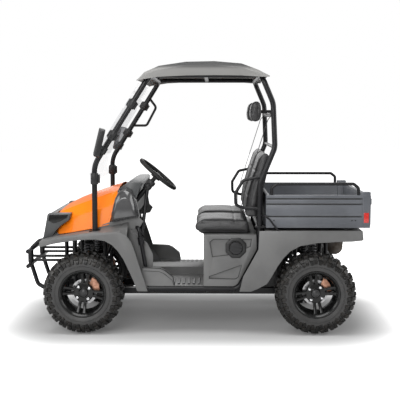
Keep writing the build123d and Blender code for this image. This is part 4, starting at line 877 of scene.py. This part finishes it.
class VEHICLE_OT_cad_panels(bpy.types.Operator):
    """Smooth copies of the CAD frame, panels and fittings, with rounded edges and their finishes"""
    bl_idname = "vehicle.cad_panels"
    bl_label = "Frame and panels"

    def execute(self, context):
        changes = {"floor_pan": self.narrow_far_shield, "dash_frame": self.shift_far_tube}
        for node, (radius, angle) in SHARP_PANELS.items():
            obj = copy_of_node(node)
            if node in changes:
                changes[node](obj)
            if radius:
                soften(obj, radius, 2, 28)
            smooth(obj, angle)
            if SLOT_OF[node] == "caliper_gold":
                self.paint_calipers(obj)
            place(obj, BODY_OF[node], SLOT_OF[node], "pod_plastic" if node == "dashboard" else None, [node])
        return {"FINISHED"}

    @staticmethod
    def shift_far_tube(obj):
        """Lower part of the passenger's side dash tube drawn forward, out of the doorway."""
        for vertex in obj.data.vertices:
            if vertex.co.y < -0.400:
                vertex.co.x += 0.090 * min(1.0, max(0.0, (0.830 - vertex.co.z) / 0.085))

    @staticmethod
    def narrow_far_shield(obj):
        """Passenger's side shield drawn in to a flange along the toe board, which leaves that side open."""
        for vertex in obj.data.vertices:
            x, y, z = vertex.co
            if -0.4715 < y < -0.4645 and z > 0.352:
                for (x0, z0), (x1, z1) in zip(TOE_BOARD, TOE_BOARD[1:]):
                    if z0 <= z <= z1:
                        vertex.co.x = max(x, x0 + (x1 - x0) * (z - z0) / (z1 - z0) - 0.012)

    @staticmethod
    def paint_calipers(obj):
        """Cast-iron finish for all of a hub carrier but its brake caliper."""
        for finish in ("caliper_gold", "shock"):
            obj.data.materials.append(material_named(finish))
        (near, far), low, inboard = CALIPER
        for face in obj.data.polygons:
            middle = face.center
            behind = middle.x - AXLE_X["front" if middle.x > 0 else "rear"]
            caliper = near < behind < far and middle.z > low and abs(middle.y) > inboard
            face.material_index = 0 if caliper else 1


class VEHICLE_OT_wheels(bpy.types.Operator):
    """Knobbly tyres on four-pair spoked alloy wheels, with nuts, caps and drilled discs"""
    bl_idname = "vehicle.wheels"
    bl_label = "Wheels"

    def execute(self, context):
        for maker, name, finish, slot, stands_for in (
                (build_tyre, "tyre", "tyre", "tyre", True), (build_rim, "rim", "rim_black", "rim_black", True),
                (build_nuts, "lug_nuts", "lug_steel", "steel", False),
                (build_cap, "wheel_cap", "cap_grey", "rim_black", False)):
            model = maker(f"{name}_model")
            for corner in CORNERS:
                piece = copy_of(model, f"{name}_{corner}_finished", wheel_place(corner))
                place(piece, f"wheel_{corner}", slot, finish, [f"{name}_{corner}"] if stands_for else [])
            bpy.data.objects.remove(model)
        for corner in CORNERS:
            disc = copy_of_node(f"brake_disc_{corner}")
            smooth(disc, 30)
            place(disc, f"wheel_{corner}", "steel", nodes=[f"brake_disc_{corner}"])
        return {"FINISHED"}


class VEHICLE_OT_springs(bpy.types.Operator):
    """Coil springs round the four shock absorbers"""
    bl_idname = "vehicle.springs"
    bl_label = "Springs"
    TURNS, STEPS = 7, 24
    COIL_RADIUS, WIRE_RADIUS = 0.030, 0.0048

    def execute(self, context):
        for axle, x in AXLE_X.items():
            for side_name, side in SIDES:
                foot, top = Vector((x, 0.330 * side, 0.440)), Vector((x, 0.238 * side, 0.640))
                axis = top - foot
                turn = axis.to_track_quat("Z", "Y")
                points = []
                for i in range(self.TURNS * self.STEPS + 1):
                    angle = 2 * math.pi * i / self.STEPS
                    height = axis.length * (0.13 + 0.71 * i / (self.TURNS * self.STEPS))
                    points.append(foot + turn @ Vector((math.cos(angle) * self.COIL_RADIUS,
                                                        math.sin(angle) * self.COIL_RADIUS, height)))
                spring = spline_tube(f"{axle}_spring_{side_name}", points, self.WIRE_RADIUS)
                place(spring, "chassis", "shock", "spring")
        return {"FINISHED"}


class VEHICLE_OT_seats(bpy.types.Operator):
    """Padded seat cushions, backs and headrests in black vinyl"""
    bl_idname = "vehicle.seats"
    bl_label = "Seats"
    # Outlines as X and Z.
    CUSHION = [(-0.040, 0.717), (-0.002, 0.748), (0.000, 0.778), (-0.034, 0.810), (-0.190, 0.814), (-0.386, 0.806),
               (-0.392, 0.717)]
    BACK = [(-0.362, 0.838), (-0.374, 0.920), (-0.382, 0.990), (-0.426, 1.140), (-0.474, 1.276), (-0.502, 1.294),
            (-0.526, 1.284), (-0.534, 1.258), (-0.486, 1.040), (-0.444, 0.838)]
    HEADREST = [(-0.408, 1.522), (-0.400, 1.560), (-0.412, 1.640), (-0.430, 1.656), (-0.462, 1.656), (-0.472, 1.640),
                (-0.476, 1.560), (-0.468, 1.518), (-0.440, 1.512)]

    def execute(self, context):
        swell = context.scene.vehicle_sizes.cushion_swell
        for side_name, side in SIDES:
            middle = 0.275 * side
            across = sorted((0.036 * side, 0.514 * side))
            self.pad(f"seat_cushion_{side_name}", self.CUSHION, across, 0.022, 0.006, swell, 12, [
                lambda p, n: abs(abs(p.y - middle) - 0.175) if n.z > 0.3 else 1.0,
                lambda p, n: abs(p.x + 0.285) if n.z > 0.5 else 1.0,
                lambda p, n: abs(p.z - 0.790) if n.z < 0.5 else 1.0,
                lambda p, n: abs(p.z - 0.734) if n.z < 0.5 else 1.0], 0.004, 0.005, 0.8)
            self.pad(f"seat_back_{side_name}", self.BACK, across, 0.018, 0.006, swell, 12, [
                lambda p, n: abs(abs(p.y - middle) - 0.160) if n.x > 0.2 else 1.0,
                lambda p, n: abs(p.z - 0.985) if n.x > 0.4 else 1.0,
                lambda p, n: abs(p.z - 1.165) if n.x > 0.4 else 1.0], 0.004, 0.006, 0.8)
            self.pad(f"headrest_{side_name}", self.HEADREST, sorted((0.190 * side, 0.370 * side)), 0.016, 0.005,
                     0.004, 6, [lambda p, n: abs(p.x + 0.462)], 0.002, 0.003, 0.9)
            near, far = sorted((0.268 * side, 0.292 * side))
            stem = box_piece(f"headrest_bracket_{side_name}", (-0.558, near, 1.574), (-0.468, far, 1.595), 0.002)
            place(stem, "chassis", "frame_black")
        for name in ("seat_cushion", "seat_back", "headrest"):
            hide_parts(f"{name}s")
        return {"FINISHED"}

    @staticmethod
    def pad(name, outline, across, radius, voxel, swell, calm, seams, depth, width, fill):
        """Rounded block, filled and smoothed, with its seams pressed in."""
        obj = block_form(name, outline, *across, radius)
        inflate(obj, voxel, swell)
        modify(obj, "SMOOTH", factor=0.5, iterations=calm)
        press_seams(obj, seams, depth, width)
        smooth(obj, 80)
        place(obj, "chassis", "seat_vinyl")


class VEHICLE_OT_belts(bpy.types.Operator):
    """Shoulder belts of woven webbing"""
    bl_idname = "vehicle.belts"
    bl_label = "Seat belts"

    def execute(self, context):
        return finish_node("seat_belts", (0.0008, 1, 40), 40)


class VEHICLE_OT_hood(bpy.types.Operator):
    """Gloss orange hood with rounded shoulders"""
    bl_idname = "vehicle.hood"
    bl_label = "Hood"

    def execute(self, context):
        return finish_node("hood", (0.018, 4, 9), 60)


class VEHICLE_OT_roof(bpy.types.Operator):
    """Crowned roof with a rounded rim"""
    bl_idname = "vehicle.roof"
    bl_label = "Roof"

    def execute(self, context):
        return finish_node("roof_panel", (0.016, 3, 9), 50)


class VEHICLE_OT_nose(bpy.types.Operator):
    """Lamp pods at the hood's front corners, and the panels between cowl and fender"""
    bl_idname = "vehicle.nose"
    bl_label = "Nose pods"
    PARTS = {
        # name: (X-Z outline, near and far Y, inset, finish)
        "lamp_pod": ([(0.886, 0.858), (1.052, 0.854), (1.088, 0.672), (1.046, 0.674), (1.022, 0.690), (0.992, 0.732),
                      (0.955, 0.771), (0.895, 0.812)], (0.400, 0.4945), 0.004, "pod_plastic"),
        "pod_glass": ([(0.902, 0.850), (1.040, 0.847), (1.048, 0.806), (1.010, 0.786), (0.962, 0.800),
                       (0.912, 0.826)], (0.480, 0.4975), 0.003, "rim_black"),
        "cowl_base": ([(0.700, 0.744), (0.660, 0.776), (0.594, 0.800), (0.500, 0.820), (0.412, 0.846), (0.368, 0.800),
                       (0.392, 0.756), (0.470, 0.742)], (0.470, 0.4885), 0.002, "body_plastic"),
    }

    def execute(self, context):
        for side_name, side in SIDES:
            for name, (line, across, inset, finish) in self.PARTS.items():
                piece = prism(f"{name}_{side_name}", line, *sorted(y * side for y in across), inset)
                soften(piece, 0.003)
                smooth(piece)
                place(piece, "chassis", "body_plastic", finish)
        return {"FINISHED"}


class VEHICLE_OT_column(bpy.types.Operator):
    """Stepped shroud on the steering column, below the wheel"""
    bl_idname = "vehicle.column"
    bl_label = "Column shroud"

    def execute(self, context):
        hub, down = Vector((0.273, 0.280, 1.126)), Vector((0.6468, 0, -0.7627))
        rings = [cylinder_piece("ring", hub + down * start, hub + down * end, radius, 40, 0.003)
                 for start, end, radius in ((0.066, 0.098, 0.033), (0.098, 0.104, 0.029), (0.104, 0.134, 0.031),
                                            (0.134, 0.150, 0.025))]
        shroud = joined("column_shroud", rings)
        smooth(shroud)
        place(shroud, "chassis", "trim")
        return {"FINISHED"}


class VEHICLE_OT_edges(bpy.types.Operator):
    """Fender lips, black beads of painted shade round the seat base's recesses and on the step guards, and floor
    cleats
    """
    bl_idname = "vehicle.edges"
    bl_label = "Edges and cleats"
    # Lines as X and Z.
    LIPS = {
        "front": [(1.090, 0.634), (0.994, 0.658), (0.875, 0.678), (0.804, 0.686), (0.699, 0.690), (0.628, 0.679),
                  (0.579, 0.651), (0.537, 0.609), (0.495, 0.545), (0.459, 0.468), (0.424, 0.390), (0.400, 0.322)],
        "rear": [(-0.400, 0.322), (-0.449, 0.341), (-0.512, 0.376), (-0.547, 0.433), (-0.582, 0.496),
                 (-0.625, 0.559), (-0.674, 0.609), (-0.744, 0.647), (-0.866, 0.668), (-1.002, 0.676),
                 (-1.108, 0.679), (-1.178, 0.686)],
    }
    RECESS_SHADE_LINES = {
        "upper_recess": [(-0.110, 0.664), (-0.138, 0.684), (-0.404, 0.684), (-0.396, 0.632), (-0.250, 0.572),
                         (-0.128, 0.558), (-0.110, 0.664)],
        "lower_recess": [(-0.106, 0.402), (-0.106, 0.416), (-0.336, 0.500), (-0.312, 0.412), (-0.290, 0.398),
                         (-0.106, 0.402)],
    }
    GUARD = [(0.372, 0.478), (0.244, 0.473), (0.209, 0.458), (0.152, 0.411), (0.141, 0.352)]

    def execute(self, context):
        beads = [(f"{name}_fender_lip", line, 0.6055, 0.0045, "body_plastic") for name, line in self.LIPS.items()]
        # Black beads along the recess outlines and the step guards' edges: painted shade.
        beads += [(f"{name}_edge", line, 0.5595, 0.0026, "painted_shade_black") for name, line in self.RECESS_SHADE_LINES.items()]
        inner = [(x - 0.012 if x > 0.3 else x + 0.006, max(z - 0.024, 0.352)) for x, z in self.GUARD]
        beads += [("step_guard_shade_rim", self.GUARD, 0.553, 0.0035, "painted_shade_black"),
                  ("step_guard_shade_line", inner, 0.553, 0.0022, "painted_shade_black")]
        for side_name, side in SIDES:
            for name, line, y, radius, finish in beads:
                bead = bead_along(f"{name}_{side_name}", line, y * side, radius)
                place(bead, "chassis", "body_plastic", finish)
            near, far = sorted((0.300 * side, 0.515 * side))
            cleats = [box_piece("cleat", (x, near, 0.3495), (x + 0.018, far, 0.3575), 0.0025)
                      for x in (-0.040 + 0.036 * i for i in range(6))]
            place(joined(f"floor_cleats_{side_name}", cleats), "chassis", "body_plastic", "trim")
        return {"FINISHED"}


class VEHICLE_OT_bed_trim(bpy.types.Operator):
    """Black beads of painted shade along the grooves, corner posts, rivets and struts at the bed's sides, and the
    fuel filler's near-black surround, painted shade at its pocket's edge
    """
    bl_idname = "vehicle.bed_trim"
    bl_label = "Bed trim"
    GROOVE_SHADE_HEIGHTS = (0.8455, 0.8525, 0.9325, 0.9395, 0.9705, 0.9775)
    RIVETS = (-1.130, -1.105, -0.560, -0.535)
    STRUT = [(-0.592, 0.600, 0.747), (-0.525, 0.600, 0.833), (-0.497, 0.597, 0.851), (-0.476, 0.548, 0.858)]
    FILLER = Vector((-0.295, 0, 0.622))

    def execute(self, context):
        for side_name, side in SIDES:
            # Black beads at both edges of each groove in the bed's sides: painted shade.
            seams = [bead_along("seam", [(-1.178, z), (-0.506, z)], 0.5835 * side, 0.0024)
                     for z in self.GROOVE_SHADE_HEIGHTS]
            place(joined(f"bed_groove_shade_{side_name}", seams), "bed", "bed_plastic", "painted_shade_black")
            near, far = sorted((0.552 * side, 0.5885 * side))
            post = box_piece(f"bed_corner_post_{side_name}", (-1.2365, near, 0.790), (-1.180, far, 0.998), 0.004)
            place(post, "bed", "bed_plastic")
            rivets = joined(f"bed_rivets_{side_name}", [
                cylinder_piece("rivet", (x, 0.583 * side, 0.822), (x, 0.5885 * side, 0.822), 0.005, 16, 0.0015)
                for x in self.RIVETS])
            smooth(rivets, 40)
            place(rivets, "bed", "steel", "shock")
            strut = spline_tube(f"bed_side_strut_{side_name}", [(x, y * side, z) for x, y, z in self.STRUT], 0.0065)
            place(strut, "chassis", "frame_black")
        # Near-black surround of the fuel filler: painted shade at the pocket's edge.
        ring = lathe("filler_surround", [(0.5560, 0.050), (0.5665, 0.050), (0.5665, 0.066), (0.5620, 0.078),
                                         (0.5560, 0.080)], 8, self.FILLER)
        ring.data.transform(Matrix.Translation(self.FILLER) @ Matrix.Rotation(math.radians(22.5), 4, "Y")
                            @ Matrix.Translation(-self.FILLER))
        soften(ring, 0.003)
        smooth(ring, 30)
        place(ring, "chassis", "trim", "painted_shade_black")
        return {"FINISHED"}


OPERATORS = (VEHICLE_OT_stage, VEHICLE_OT_cad_panels, VEHICLE_OT_wheels, VEHICLE_OT_springs, VEHICLE_OT_seats,
             VEHICLE_OT_belts, VEHICLE_OT_hood, VEHICLE_OT_roof, VEHICLE_OT_nose, VEHICLE_OT_column, VEHICLE_OT_edges,
             VEHICLE_OT_bed_trim)


class VEHICLE_PT_panel(bpy.types.Panel):
    """Lists the vehicle's pieces in the sidebar"""
    bl_idname = "VEHICLE_PT_panel"
    bl_label = "Utility Vehicle"
    bl_space_type = "VIEW_3D"
    bl_region_type = "UI"
    bl_category = "Vehicle"

    def draw(self, context):
        for group in (context.scene.vehicle_looks, context.scene.vehicle_sizes):
            for name in group.bl_rna.properties.keys():
                if name not in ("rna_type", "name"):
                    self.layout.prop(group, name)
        for operator in OPERATORS:
            self.layout.operator(operator.bl_idname)


CLASSES = (VehicleLooks, VehicleSizes) + OPERATORS + (VEHICLE_PT_panel,)


def register():
    for cls in CLASSES:
        bpy.utils.register_class(cls)
    bpy.types.Scene.vehicle_looks = bpy.props.PointerProperty(type=VehicleLooks)
    bpy.types.Scene.vehicle_sizes = bpy.props.PointerProperty(type=VehicleSizes)


def unregister():
    del bpy.types.Scene.vehicle_sizes
    del bpy.types.Scene.vehicle_looks
    for cls in reversed(CLASSES):
        bpy.utils.unregister_class(cls)


def main():
    register()
    for operator in OPERATORS:
        getattr(bpy.ops.vehicle, operator.bl_idname.split(".")[1])()


if __name__ == "__main__":
    main()
